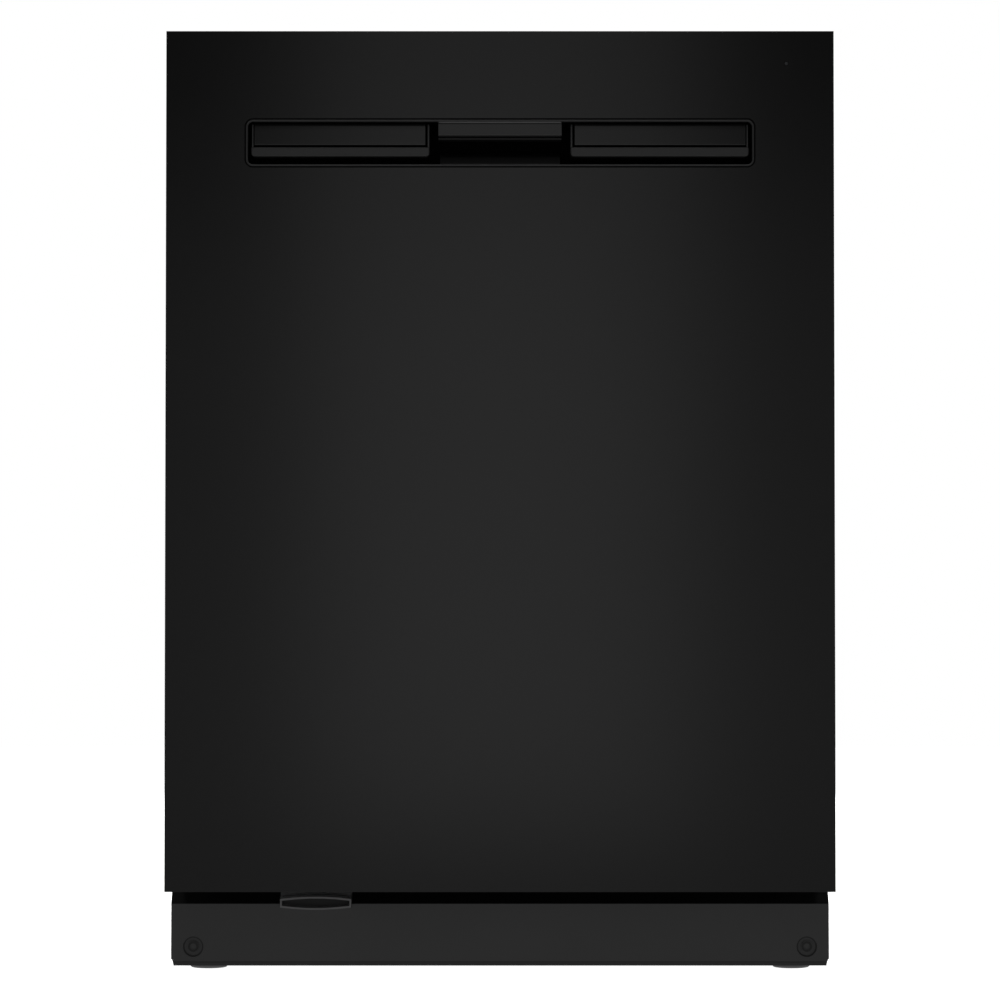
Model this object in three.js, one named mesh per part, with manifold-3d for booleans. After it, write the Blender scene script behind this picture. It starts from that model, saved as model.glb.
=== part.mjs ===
// A 24 inch built-in dishwasher with a hidden top control panel and a pocket handle.
// Millimetres. +X is to the right seen from the front, +Y runs to the back, +Z is up.
// The origin is on the floor, under the middle of the machine's box.
import * as THREE from "three";
import { mergeVertices } from "three/addons/utils/BufferGeometryUtils.js";
import Module from "manifold-3d";

const wasm = await Module();
wasm.setup();

// ---------------------------------------------------------------- driving dimensions
const WIDTH = 606;
const HEIGHT = 860; // with the feet screwed all the way in
const DEPTH = 622;
const GAP = 0.3; // left between pieces that touch
const SHEET = 1.2; // painted door and toe panel steel
const THIN = 1; // stainless tub and liner steel

const HALF = WIDTH / 2;
const FRONT = -DEPTH / 2;
const BACK = DEPTH / 2;

// Door
const DOOR_BOTTOM = 80;
const LINER_Y = FRONT + 50; // tub side of the liner's flat flange
const BULGE_Y = FRONT + 66; // tub side of the liner's raised middle
const HINGE = { y: FRONT + 49, z: 100 };
const BULGE = { half: 258, low: 132, high: 812 };
const RETURN_END = LINER_Y - THIN - GAP; // where the door panel's side folds stop

// Tub
const TUB_FRONT = FRONT + 58;
const TUB_BACK = 286;
const TUB_HALF = 280;
const TUB_TOP = 823;
const FLANGE = { half: 296, low: 112, high: 851 };
const LEDGE = 119; // what the lower rack's wheels roll on
const WELL = { half: 241, front: -236, back: 276, floor: 98 };

// Base and toe panel
const BASE = { half: 294, front: -212, low: 20, high: 117.7, wall: 3 };
const TOE_Y = FRONT + 75;
const TOE = { low: 7.2, face: 64, top: 82, hem: 10.7, lean: 18 };
const FOOT = { x: 273, front: -168, rear: 250, radius: 18, height: 7 };

// Wet parts and racks
const ARM = { x: 0, y: 20 }; // axis of the lower and upper spray arms
const RACK_ARM_Y = 10; // axis of the spray arm under the upper rack
const FILTER = { x: 39, y: 59, radius: 35 };
const FLOAT = { x: -205, y: -190, radius: 15 };
const LOWER_RACK = { half: 245, front: -215, back: 265, floor: 148, rim: 262, taper: 25 };
const UPPER_RACK = { half: 255, front: -225, back: 240, floor: 432, rim: 560, taper: 12 };
const WHEEL = { radius: 19, z: 139, inner: 262, outer: 271, front: -150, rear: 200 };
const TRACK = { z: 512, web: 262, lip: 274, half: 12, front: -235, rear: 235 };
const BASKET = { x0: 168, x1: 236, y0: -150, y1: 90, z0: 157, z1: 275, cells: 4 };

// ---------------------------------------------------------------- materials
const paint = (color, roughness, metalness = 0) =>
  new THREE.MeshStandardMaterial({ color, roughness, metalness });
const BLACK_STEEL = paint(0x17181a, 0.3, 0.1);
const BLACK_PLASTIC = paint(0x121314, 0.45);
const TOE_BLACK = paint(0x2a2a2b, 0.5, 0.1);
const STAINLESS = paint(0xb9bbbd, 0.3, 1);
const ZINC = paint(0x9a9c9e, 0.45, 0.9);
const GREY_PLASTIC = paint(0x8d9296, 0.5);
const PALE_PLASTIC = paint(0xc9ccce, 0.5);
const DARK_PLASTIC = paint(0x2b2e31, 0.55);
const RACK_VINYL = paint(0x7d868d, 0.4);
const RUBBER = paint(0x1b1b1b, 0.8);
const FELT = paint(0x55585b, 0.95);
const LENS = paint(0xd8e2e8, 0.1);

// ---------------------------------------------------------------- solids
const AXES = {
  x: new THREE.Vector3(1, 0, 0),
  y: new THREE.Vector3(0, 1, 0),
  z: new THREE.Vector3(0, 0, 1),
};
// Where a drawing's own u, v and depth directions go, for an extrusion along each axis.
const DRAWN = {
  x: new THREE.Matrix4().makeBasis(AXES.y, AXES.z, AXES.x),
  y: new THREE.Matrix4().makeBasis(AXES.x, AXES.z, AXES.y.clone().negate()),
  z: new THREE.Matrix4(),
};

function solidOf(geometry) {
  const bare = geometry.clone();
  bare.deleteAttribute("normal");
  bare.deleteAttribute("uv");
  const merged = mergeVertices(bare, 1e-4);
  return new wasm.Manifold(
    new wasm.Mesh({
      numProp: 3,
      vertProperties: merged.attributes.position.array,
      triVerts: new Uint32Array(merged.index.array),
    }),
  );
}

function geometryOf(solid) {
  const mesh = solid.getMesh();
  const stride = mesh.numProp;
  const position = new Float32Array(mesh.numVert * 3);
  for (let i = 0; i < mesh.numVert; i++)
    position.set(mesh.vertProperties.subarray(i * stride, i * stride + 3), i * 3);
  return new THREE.BufferGeometry()
    .setAttribute("position", new THREE.BufferAttribute(position, 3))
    .setIndex(new THREE.BufferAttribute(mesh.triVerts, 1));
}

function join(...pieces) {
  return geometryOf(pieces.map(solidOf).reduce((sum, piece) => sum.add(piece)));
}

function cut(body, ...tools) {
  return geometryOf(tools.map(solidOf).reduce((rest, tool) => rest.subtract(tool), solidOf(body)));
}

// A box from its low corner to its high corner.
function block([x0, y0, z0], [x1, y1, z1]) {
  return new THREE.BoxGeometry(x1 - x0, y1 - y0, z1 - z0).translate(
    (x0 + x1) / 2,
    (y0 + y1) / 2,
    (z0 + z1) / 2,
  );
}

// A round bar along an axis. The centre is given in the other two axes, in X, Y, Z order.
function rod(axis, radius, from, to, [u, v], sides = 20) {
  const bar = new THREE.CylinderGeometry(radius, radius, to - from, sides);
  const middle = (from + to) / 2;
  if (axis === "x") return bar.rotateZ(Math.PI / 2).translate(middle, u, v);
  if (axis === "y") return bar.translate(u, middle, v);
  return bar.rotateX(Math.PI / 2).translate(u, v, middle);
}

// A flat outline, in the two other axes, pushed along an axis.
function extrude(axis, outline, from, to) {
  const shape = Array.isArray(outline)
    ? new THREE.Shape(outline.map(([u, v]) => new THREE.Vector2(u, v)))
    : outline;
  const solid = new THREE.ExtrudeGeometry(shape, {
    depth: to - from,
    bevelEnabled: false,
    curveSegments: 5,
  }).applyMatrix4(DRAWN[axis]);
  const start = axis === "y" ? to : from;
  return solid.translate(...AXES[axis].clone().multiplyScalar(start).toArray());
}

// A rectangle with rounded corners; the top two may have a radius of their own.
function roundedRect(u0, v0, u1, v1, radius, topRadius = radius) {
  const quarter = Math.PI / 2;
  return new THREE.Shape()
    .moveTo(u0 + radius, v0)
    .lineTo(u1 - radius, v0)
    .absarc(u1 - radius, v0 + radius, radius, -quarter, 0)
    .lineTo(u1, v1 - topRadius)
    .absarc(u1 - topRadius, v1 - topRadius, topRadius, 0, quarter)
    .lineTo(u0 + topRadius, v1)
    .absarc(u0 + topRadius, v1 - topRadius, topRadius, quarter, 2 * quarter)
    .lineTo(u0, v0 + radius)
    .absarc(u0 + radius, v0 + radius, radius, 2 * quarter, 3 * quarter);
}

// A turned piece: the profile is a list of [radius, z] and stands on the vertical axis at x, y.
function turned(profile, x, y, sides = 24) {
  const points = profile.map(([r, z]) => new THREE.Vector2(r, z));
  return new THREE.LatheGeometry(points, sides).rotateX(Math.PI / 2).translate(x, y, 0);
}

// A square bar between two points.
function bar(from, to, size) {
  const a = new THREE.Vector3(...from);
  const b = new THREE.Vector3(...to);
  const along = b.clone().sub(a);
  const turn = new THREE.Quaternion().setFromUnitVectors(AXES.z, along.clone().normalize());
  return new THREE.BoxGeometry(size, size, along.length() + size)
    .applyQuaternion(turn)
    .translate(...a.add(b).multiplyScalar(0.5).toArray());
}

// Evenly spaced numbers from low to high, both included.
const spread = (low, high, count) =>
  Array.from({ length: count }, (_, i) => low + ((high - low) * i) / (count - 1));

// The same piece on the other side of the middle, with its faces turned back to face out.
function mirrored(geometry, side) {
  if (side > 0) return geometry;
  const flipped = geometry.clone().scale(-1, 1, 1);
  const solid = flipped.index ? flipped : mergeVertices(flipped);
  const corners = solid.index.array.slice();
  for (let i = 0; i < corners.length; i += 3)
    [corners[i + 1], corners[i + 2]] = [corners[i + 2], corners[i + 1]];
  return solid.setIndex(new THREE.BufferAttribute(corners, 1));
}

// ---------------------------------------------------------------- the model
const dishwasher = new THREE.Group();
const SIDES = { left: -1, right: 1 };

function add(name, geometry, material) {
  const mesh = new THREE.Mesh(geometry, material);
  mesh.name = name;
  dishwasher.add(mesh);
}

// A left piece and a right piece from the right one's geometry.
function addPair(name, geometry, material) {
  for (const [word, side] of Object.entries(SIDES))
    add(`${name}_${word}`, mirrored(geometry, side), material);
}

// ---------------------------------------------------------------- door
const GRIP = { half: 229.2, low: 738.4, high: 778, corner: 5 }; // the opening in the door's face
const LAMP = { x: 260, z: 830.5 };

function doorPanel() {
  const inner = HALF - SHEET;
  const behind = RETURN_END + 1;
  const box = block([-HALF, FRONT, DOOR_BOTTOM], [HALF, RETURN_END, HEIGHT]);
  const hollow = block(
    [-inner, FRONT + SHEET, DOOR_BOTTOM + SHEET],
    [inner, behind, HEIGHT - SHEET],
  );
  const openTop = block([-inner, FRONT + 5, HEIGHT - 2 * SHEET], [inner, behind, HEIGHT + 1]);
  const openFoot = block(
    [-inner, FRONT + 30, DOOR_BOTTOM - 1],
    [inner, behind, DOOR_BOTTOM + 2 * SHEET],
  );
  const opening = roundedRect(-GRIP.half, GRIP.low, GRIP.half, GRIP.high, GRIP.corner);
  const rim = roundedRect(
    -GRIP.half - SHEET,
    GRIP.low - SHEET,
    GRIP.half + SHEET,
    GRIP.high + SHEET,
    GRIP.corner + SHEET,
  );
  const collar = extrude("y", rim, FRONT + SHEET / 2, FRONT + 6);
  return cut(
    join(cut(box, hollow, openTop, openFoot), collar),
    extrude("y", opening, FRONT - 1, FRONT + 7),
    rod("y", 1.5, FRONT - 1, FRONT + 2, [LAMP.x, LAMP.z], 12),
  );
}

// The moulded pocket behind the opening: a shallow box, a lipped wing each side and a grip bar.
function pocketHandle() {
  const wall = 2;
  const rim = FRONT + 6.3;
  const end = FRONT + 43;
  const box = { half: 233, low: 733, high: 783.5 };
  const wing = { inner: 64, outer: 227.6, low: 746, crease: 755, high: 776.5, lip: FRONT + 3.2 };
  const grip = { half: 56.5, low: 764.4, face: FRONT + 2.2, thick: 6.5 };
  const shell = cut(
    block([-box.half, rim, box.low], [box.half, end, box.high]),
    block(
      [-box.half + wall, rim - 1, box.low + wall],
      [box.half - wall, end - wall, box.high - wall],
    ),
  );
  const wingOutline = [
    [wing.lip + 0.8, wing.low],
    [end - wall / 2, wing.low],
    [end - wall / 2, wing.high],
    [wing.lip + 3.4, wing.high],
    [wing.lip + 1.6, wing.crease + 10],
    [wing.lip + 1, wing.crease + 1.4],
    [wing.lip + 1.8, wing.crease],
    [wing.lip, wing.crease - 0.6],
    [wing.lip, wing.low + 0.8],
  ];
  const wingCore = block(
    [wing.inner + wall, wing.lip + 12, wing.low + wall],
    [wing.outer - wall, end + 1, wing.high - wall],
  );
  const wingSolid = extrude("x", wingOutline, wing.inner, wing.outer);
  const gripBar = join(
    block([-grip.half, grip.face, grip.low], [grip.half, grip.face + grip.thick, GRIP.high - 0.6]),
    block([-grip.half, rim, grip.low], [grip.half, grip.face + grip.thick, box.high - wall / 2]),
  );
  const scoop = extrude(
    "x",
    [
      [rim + 1, box.low + wall / 2],
      [end - wall / 2, box.low + wall / 2],
      [end - wall / 2, 751],
      [rim + 20, 751],
      [rim + 1, 739],
    ],
    -54.6,
    54.6,
  );
  return cut(
    join(shell, wingSolid, mirrored(wingSolid, -1), gripBar, scoop),
    wingCore,
    mirrored(wingCore, -1),
  );
}

const DISPENSER = { half: 95.5, low: 429.5, high: 570.5, face: BULGE_Y + 1, back: FRONT + 26 };
const CUP = { x0: -80, x1: -5, z0: 495, z1: 560 };
const CAP = { x: 48, z: 520, radius: 19 };
const LATCH = { y: FRONT + 23, z: 842 };

function doorLiner() {
  const notch = 18;
  const foot = 92;
  const edge = HALF - 2;
  const top = 846;
  const plate = extrude(
    "y",
    [
      [-BULGE.half - 3, foot],
      [BULGE.half + 3, foot],
      [BULGE.half + 3, BULGE.low],
      [edge, BULGE.low],
      [edge, top],
      [notch, top],
      [notch, top - 14],
      [-notch, top - 14],
      [-notch, top],
      [-edge, top],
      [-edge, BULGE.low],
      [-BULGE.half - 3, BULGE.low],
    ],
    LINER_Y - THIN,
    LINER_Y,
  );
  const raised = extrude(
    "y",
    roundedRect(-BULGE.half, BULGE.low, BULGE.half, BULGE.high, 24),
    LINER_Y - THIN,
    BULGE_Y,
  );
  const hollow = extrude(
    "y",
    roundedRect(
      -BULGE.half + THIN,
      BULGE.low + THIN,
      BULGE.half - THIN,
      BULGE.high - THIN,
      24 - THIN,
    ),
    LINER_Y - THIN - 1,
    BULGE_Y - THIN,
  );
  const window = block(
    [-DISPENSER.half - GAP, LINER_Y, DISPENSER.low - GAP],
    [DISPENSER.half + GAP, BULGE_Y + 1, DISPENSER.high + GAP],
  );
  return cut(join(plate, raised), hollow, window);
}

const BUTTON = { long: 24, wide: 10, y: FRONT + 24, low: 851, travel: 1 };
const BUTTON_PLACES = { cycle: -220, option: -150, delay: -80, cancel: 120, start: 190 };

function controlPanel() {
  const half = HALF - SHEET - GAP;
  const front = FRONT + 5 + GAP;
  const skirt = 848;
  const top = HEIGHT - 0.4;
  const slack = 0.4;
  const plate = block([-half, front, top - 2.6], [half, RETURN_END, top]);
  const frontSkirt = block([-half, front, skirt], [half, front + 2, top]);
  const rearSkirt = block([-half, RETURN_END - 2, skirt], [half, RETURN_END, top]);
  const lug = block([8, LATCH.y - 5, LATCH.z - 5], [11, LATCH.y + 5, top - 1]);
  const pin = rod("x", 2, -9, 9, [LATCH.y, LATCH.z], 12);
  const holes = Object.values(BUTTON_PLACES).map((x) =>
    block(
      [x - BUTTON.long / 2 - slack, BUTTON.y - BUTTON.wide / 2 - slack, skirt],
      [x + BUTTON.long / 2 + slack, BUTTON.y + BUTTON.wide / 2 + slack, top + 1],
    ),
  );
  return cut(join(plate, frontSkirt, rearSkirt, lug, mirrored(lug, -1), pin), ...holes);
}

function latchHook() {
  const { y, z } = LATCH;
  const outline = [
    [y - 4.5, z + 4.5],
    [y - 4.5, z - 4],
    [y + 4, z - 16],
    [y + 24, z - 18],
    [y + 24, z - 5.5],
    [y + 20.5, z - 5.5],
    [y + 19.5, z - 13],
    [y + 7, z - 11.5],
    [y + 4.5, z - 4],
    [y + 4.5, z + 4.5],
  ];
  return cut(extrude("x", outline, -7, 7), rod("x", 2.5, -8, 8, [y, z], 12));
}

function dispenserBody() {
  const { half, low, high, face, back } = DISPENSER;
  const railWidth = 1.6;
  const railTop = face + 3;
  const rail = (x) => block([x, face - 0.5, low + 4], [x + railWidth, railTop, high - 4]);
  return cut(
    join(
      block([-half, back, low], [half, face, high]),
      block([-half - 4, BULGE_Y + GAP, low - 4], [half + 4, face, high + 4]),
      rail(CUP.x0 - 6),
      rail(CUP.x1 + 5),
    ),
    block([CUP.x0, back + 14, CUP.z0], [CUP.x1, face + 1, CUP.z1]),
  );
}

function dispenserLid() {
  const low = DISPENSER.face + GAP;
  return join(
    block([CUP.x0 - 4, low, CUP.z0 - 4], [CUP.x1 + 4, low + 2.4, CUP.z1 + 4]),
    block([CUP.x0 + 20, low + 2, CUP.z1 - 5], [CUP.x1 - 20, low + 5, CUP.z1]),
  );
}

function rinseCap() {
  const low = DISPENSER.face + GAP;
  const grip = CAP.radius - 4;
  return join(
    rod("y", CAP.radius, low, low + 4, [CAP.x, CAP.z], 24),
    block([CAP.x - grip, low + 3, CAP.z - 2.5], [CAP.x + grip, low + 9, CAP.z + 2.5]),
  );
}

function bottomSeal() {
  const back = LINER_Y + GAP;
  const outline = [
    [back, 104],
    [back + 2.2, 104],
    [back + 4.7, 108],
    [back + 6.2, 112],
    [back + 3.7, 116],
    [back, 116],
  ];
  return extrude("x", outline, -BULGE.half, BULGE.half);
}

const HINGE_PIN = 4;

function hingeArm() {
  const { y, z } = HINGE;
  const outline = [
    [y - 6, z - 11],
    [y + 6, z - 11],
    [y + 10, z - 6],
    [y + 10, z + 6],
    [y + 6, z + 12],
    [y - 4, z + 18],
    [y - 4, z + 200],
    [y - 34, z + 200],
    [y - 34, z + 20],
    [y - 18, z + 4],
    [y - 10, z],
    [y - 10, z - 8],
  ];
  return cut(extrude("x", outline, 291.5, 294.5), rod("x", HINGE_PIN + 0.5, 290, 296, [y, z]));
}

add("door_panel", doorPanel(), BLACK_STEEL);
add("pocket_handle", pocketHandle(), BLACK_PLASTIC);
add("status_lens", rod("y", 1.2, FRONT, FRONT + 4, [LAMP.x, LAMP.z], 12), LENS);
add("door_liner", doorLiner(), STAINLESS);
add("control_panel", controlPanel(), BLACK_PLASTIC);
for (const [word, x] of Object.entries(BUTTON_PLACES)) {
  const [long, wide] = [BUTTON.long / 2, BUTTON.wide / 2];
  const cap = block([x - long, BUTTON.y - wide, BUTTON.low], [x + long, BUTTON.y + wide, HEIGHT]);
  add(`${word}_button`, cap, GREY_PLASTIC);
}
add("latch_hook", latchHook(), ZINC);
add("dispenser_body", dispenserBody(), GREY_PLASTIC);
add("detergent_lid", dispenserLid(), PALE_PLASTIC);
add("rinse_aid_cap", rinseCap(), DARK_PLASTIC);
add("door_bottom_seal", bottomSeal(), RUBBER);
addPair("hinge_arm", hingeArm(), ZINC);

// ---------------------------------------------------------------- cabinet
function tub() {
  const corner = { low: 6, top: 28 };
  const outer = roundedRect(-TUB_HALF, LEDGE - THIN, TUB_HALF, TUB_TOP, corner.low, corner.top);
  const inner = roundedRect(
    -TUB_HALF + THIN,
    LEDGE,
    TUB_HALF - THIN,
    TUB_TOP - THIN,
    corner.low - THIN,
    corner.top - THIN,
  );
  const flange = roundedRect(-FLANGE.half, FLANGE.low, FLANGE.half, FLANGE.high, 8);
  const { half, front, back, floor } = WELL;
  return cut(
    join(
      extrude("y", outer, TUB_FRONT, TUB_BACK),
      extrude("y", flange, TUB_FRONT, TUB_FRONT + THIN),
      block([-half, front, floor - THIN], [half, back, LEDGE]),
    ),
    extrude("y", inner, TUB_FRONT - 1, TUB_BACK - THIN),
    block([-half + THIN, front + THIN, floor], [half - THIN, back - THIN, LEDGE + 1]),
    rod("z", 100, floor - 3, floor + 1, [ARM.x, ARM.y], 32),
    rod("z", 4, floor - 3, floor + 1, [FLOAT.x, FLOAT.y], 12),
  );
}

const GASKET = { x: 287.5, z: 832, half: 3.7 };

// The rubber strip round the tub's mouth, up one side, over the top and down the other.
function tubGasket() {
  const { x, z, half } = GASKET;
  const foot = 124;
  const outer = x + half;
  const inner = x - half;
  const corner = 26;
  const outline = new THREE.Shape()
    .moveTo(-outer, foot)
    .lineTo(-inner, foot)
    .lineTo(-inner, z - half - corner)
    .absarc(-inner + corner, z - half - corner, corner, Math.PI, Math.PI / 2, true)
    .lineTo(inner - corner, z - half)
    .absarc(inner - corner, z - half - corner, corner, Math.PI / 2, 0, true)
    .lineTo(inner, foot)
    .lineTo(outer, foot)
    .lineTo(outer, z - half - corner)
    .absarc(inner - corner, z - half - corner, corner + 2 * half, 0, Math.PI / 2)
    .lineTo(-inner + corner, z + half)
    .absarc(-inner + corner, z - half - corner, corner + 2 * half, Math.PI / 2, Math.PI);
  return extrude("y", outline, LINER_Y + GAP, TUB_FRONT - GAP);
}

function baseFrame() {
  const { half, front, low, high, wall } = BASE;
  const shell = cut(
    block([-half, front, low], [half, BACK, high]),
    block([-half + wall, front + wall, low + wall], [half - wall, BACK - wall, high + 1]),
    block([-half + wall, front - 1, 95], [half - wall, front + wall + 1, high + 1]),
    block([-60, BACK - wall - 1, 40], [60, BACK + 1, 90]),
  );
  const columns = [];
  const holes = [];
  for (const side of [-1, 1])
    for (const y of [FOOT.front, FOOT.rear]) {
      const x = side * FOOT.x;
      columns.push(block([x - 18, y - 18, low], [x + 18, y + 18, high]));
      holes.push(rod("z", 4.8, low - 1, 95, [x, y], 16));
    }
  const slot = block([286.5, front - 1, 86], [291.5, front + wall + 1, high]);
  return cut(join(shell, ...columns), ...holes, slot, mirrored(slot, -1));
}

function soundBlanket() {
  return cut(
    block([-292, -235, 126], [292, 303, 840]),
    block([-TUB_HALF - 1, -236, 125], [TUB_HALF + 1, TUB_BACK + 1, TUB_TOP + 1]),
  );
}

const TOE_SCREW = { x: 282.6, z: 24.6, dimple: 9.4, head: 5.2 };
const SPOUT = { x: -169.7, half: 32.7, low: 58.7, high: 70.8, end: 2.1, back: -214, rise: 0.21 };

function toePanel() {
  const { low, face, top, hem, lean } = TOE;
  const step = 0.3; // the hemmed strip along the bottom sits back by this much
  const seam = { half: 0.6, deep: 0.8 }; // the groove above the hemmed strip
  const outline = [
    [TOE_Y + step, low],
    [TOE_Y + 12, low],
    [TOE_Y + 12, low + SHEET],
    [TOE_Y + step + SHEET, low + SHEET],
    [TOE_Y + step + SHEET, hem],
    [TOE_Y + SHEET, hem],
    [TOE_Y + SHEET, face - 0.5],
    [TOE_Y + lean + SHEET, top - 0.5],
    [TOE_Y + lean + SHEET, top + 3],
    [TOE_Y + lean, top + 3],
    [TOE_Y + lean, top],
    [TOE_Y, face],
    [TOE_Y, hem + seam.half],
    [TOE_Y + seam.deep, hem + seam.half],
    [TOE_Y + seam.deep, hem - seam.half],
    [TOE_Y + step, hem - seam.half],
  ];
  const corner = extrude(
    "y",
    [
      [HALF - 2.2, low - 1],
      [HALF + 1, low - 1],
      [HALF + 1, low + 6],
      [HALF - 0.8, low + 6],
      [HALF - 2.2, low + 1],
    ],
    TOE_Y - 1,
    TOE_Y + 14,
  );
  const { x, z, dimple } = TOE_SCREW;
  const boss = rod("y", dimple + 2, TOE_Y + 0.5, TOE_Y + 6, [x, z], 24);
  const recess = rod("y", dimple, TOE_Y - 1, TOE_Y + 2, [x, z], 24);
  const bore = rod("y", 2.8, TOE_Y, TOE_Y + 7, [x, z], 12);
  const spoutGate = extrude("y", lens(-GAP - 0.1), TOE_Y - 1, TOE_Y + SHEET + 1);
  const spoutNotch = block(
    [SPOUT.x - SPOUT.half - 1, TOE_Y + SHEET / 2, face],
    [SPOUT.x + SPOUT.half + 1, TOE_Y + lean + 2, top + 4],
  );
  const spoutWay = block(
    [SPOUT.x - SPOUT.half - 0.4, TOE_Y - 1, face - 2],
    [SPOUT.x + SPOUT.half + 0.4, TOE_Y + SHEET + 1, face + 4],
  );
  return cut(
    join(extrude("x", outline, -HALF, HALF), boss, mirrored(boss, -1)),
    recess,
    mirrored(recess, -1),
    bore,
    mirrored(bore, -1),
    corner,
    mirrored(corner, -1),
    spoutGate,
    spoutNotch,
    spoutWay,
  );
}

function toeScrew() {
  const { x, z, head } = TOE_SCREW;
  const seat = TOE_Y + 2 - GAP;
  return cut(
    join(
      rod("y", head, seat - 1.6, seat, [x, z], 20),
      rod("y", 2.3, seat - 0.5, BASE.front - GAP, [x, z], 10),
    ),
    rod("y", 3, seat - 3, seat - 0.9, [x, z], 6),
  );
}

// A lens outline: straight ends, gently bowed top and bottom.
function lens(inset) {
  const { x, half, low, high, end } = SPOUT;
  const left = x - half + inset;
  const right = x + half - inset;
  return new THREE.Shape()
    .moveTo(left, low + end + inset)
    .quadraticCurveTo(x, low - end + inset, right, low + end + inset)
    .lineTo(right, high - end - inset)
    .quadraticCurveTo(x, high + end - inset, left, high - end - inset)
    .lineTo(left, low + end + inset);
}

// The spout slopes down to the front, so that a leak runs out where it is seen.
function dripSpout() {
  const mouth = TOE_Y - 4.5;
  const slope = new THREE.Matrix4()
    .makeTranslation(0, mouth, 0)
    .multiply(new THREE.Matrix4().makeShear(0, 0, 0, SPOUT.rise, 0, 0))
    .multiply(new THREE.Matrix4().makeTranslation(0, -mouth, 0));
  const outside = extrude("y", lens(0), mouth, SPOUT.back).applyMatrix4(slope);
  const inside = extrude("y", lens(1.6), mouth - 1, SPOUT.back + 1).applyMatrix4(slope);
  const neck = extrude(
    "x",
    [
      [TOE_Y + 3.5, SPOUT.high - 3],
      [TOE_Y + 5.5, SPOUT.high - 3],
      [TOE_Y + TOE.lean + 2, TOE.top - 0.5],
      [TOE_Y + TOE.lean, TOE.top - 0.5],
    ],
    SPOUT.x - SPOUT.half,
    SPOUT.x + SPOUT.half,
  );
  return cut(join(outside, neck), inside);
}

function latchStrike() {
  const back = TUB_FRONT - GAP;
  return cut(
    join(
      block([-14, back - 1.5, 837], [14, back, 849]),
      block([-14, LATCH.y + 14, 838.5], [14, back, 841]),
    ),
    block([-8.5, LATCH.y + 18, 838], [8.5, LATCH.y + 28, 842]),
  );
}

function counterBracket() {
  const front = TUB_FRONT + THIN + GAP;
  return cut(
    join(
      block([205, front, 835], [235, front + 1.5, 855]),
      block([205, front, 853.5], [235, front + 36, 855]),
    ),
    rod("z", 2.5, 850, 858, [220, front + 24], 12),
  );
}

function hingeBracket() {
  const { y, z } = HINGE;
  const top = FLANGE.low - 9;
  const low = TOE.top + 5;
  const outline = [
    [y - 11, z - 8],
    [y - 6, low],
    [y + 70, low],
    [y + 70, top],
    [y + 7, top],
    [y + 5, z + 11],
    [y - 6, z + 11],
    [y - 11, z + 6],
  ];
  return join(
    extrude("x", outline, 287.5, 290.5),
    rod("x", HINGE_PIN, 270, 297, [y, z]),
  );
}

function doorSpring() {
  const { y, z } = HINGE;
  return cut(
    rod("x", 10, 271, 286.8, [y, z], 24),
    rod("x", HINGE_PIN + 1.2, 270, 288, [y, z], 24),
  );
}

function foot(x, y) {
  const { radius, height } = FOOT;
  const profile = [
    [0, 0],
    [radius - 2, 0],
    [radius, 1.6],
    [radius, height - 2],
    [radius - 3, height],
    [6.5, height],
    [6.5, height + 8],
    [4, height + 8],
    [4, 72],
    [0, 72],
  ];
  return turned(profile, x, y, 24);
}

add("tub", tub(), STAINLESS);
add("tub_gasket", tubGasket(), RUBBER);
add("base_frame", baseFrame(), DARK_PLASTIC);
add("sound_blanket", soundBlanket(), FELT);
add("toe_panel", toePanel(), TOE_BLACK);
addPair("toe_screw", toeScrew(), TOE_BLACK);
add("drip_spout", dripSpout(), BLACK_PLASTIC);
add("latch_strike", latchStrike(), ZINC);
addPair("counter_bracket", counterBracket(), ZINC);
addPair("hinge_bracket", hingeBracket(), ZINC);
addPair("door_spring", doorSpring(), ZINC);
for (const [word, side] of Object.entries(SIDES)) {
  add(`front_foot_${word}`, foot(side * FOOT.x, FOOT.front), PALE_PLASTIC);
  add(`rear_foot_${word}`, foot(side * FOOT.x, FOOT.rear), PALE_PLASTIC);
}

// ---------------------------------------------------------------- wet parts
const POST = { radius: 13, spigot: 9, top: 121.7, tip: 134 };

function sump() {
  const profile = [
    [0, 44],
    [90, 44],
    [99, 60],
    [99, 93],
    [118, 93],
    [118, WELL.floor - THIN - GAP],
    [96, WELL.floor - THIN - GAP],
    [96, 62],
    [87, 48],
    [POST.radius, 48],
    [POST.radius, POST.top],
    [POST.spigot, POST.top],
    [POST.spigot, POST.tip],
    [0, POST.tip],
  ];
  return turned(profile, ARM.x, ARM.y);
}

function filterPlate() {
  const low = WELL.floor + GAP;
  const slotHoles = spread(105, 255, 6).map((angle) => {
    const turn = THREE.MathUtils.degToRad(angle);
    const reach = 68;
    const place = [ARM.x + reach * Math.cos(turn), ARM.y + reach * Math.sin(turn)];
    return rod("z", 9, low - 1, low + 3, place, 10);
  });
  return cut(
    rod("z", 116, low, low + 2, [ARM.x, ARM.y], 32),
    rod("z", POST.radius + 1, low - 1, low + 3, [ARM.x, ARM.y], 20),
    rod("z", FILTER.radius + 1, low - 1, low + 3, [FILTER.x, FILTER.y], 24),
    ...slotHoles,
  );
}

function filterCylinder() {
  const rim = 104;
  const cup = turned(
    [
      [0, 54],
      [FILTER.radius, 54],
      [FILTER.radius, rim],
      [FILTER.radius - 3, rim],
      [FILTER.radius - 3, 58],
      [0, 58],
    ],
    FILTER.x,
    FILTER.y,
  );
  const { x, y, radius } = FILTER;
  const grip = block([x - radius + 1, y - 3, rim - 8], [x + radius - 1, y + 3, rim + 10]);
  return join(cup, grip);
}

function overfillFloat() {
  const { x, y, radius } = FLOAT;
  const profile = [
    [0, 86],
    [3, 86],
    [3, WELL.floor + 1],
    [radius, WELL.floor + 1],
    [radius, 124],
    [radius - 5, 129],
    [0, 129],
  ];
  return turned(profile, x, y, 20);
}

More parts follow.
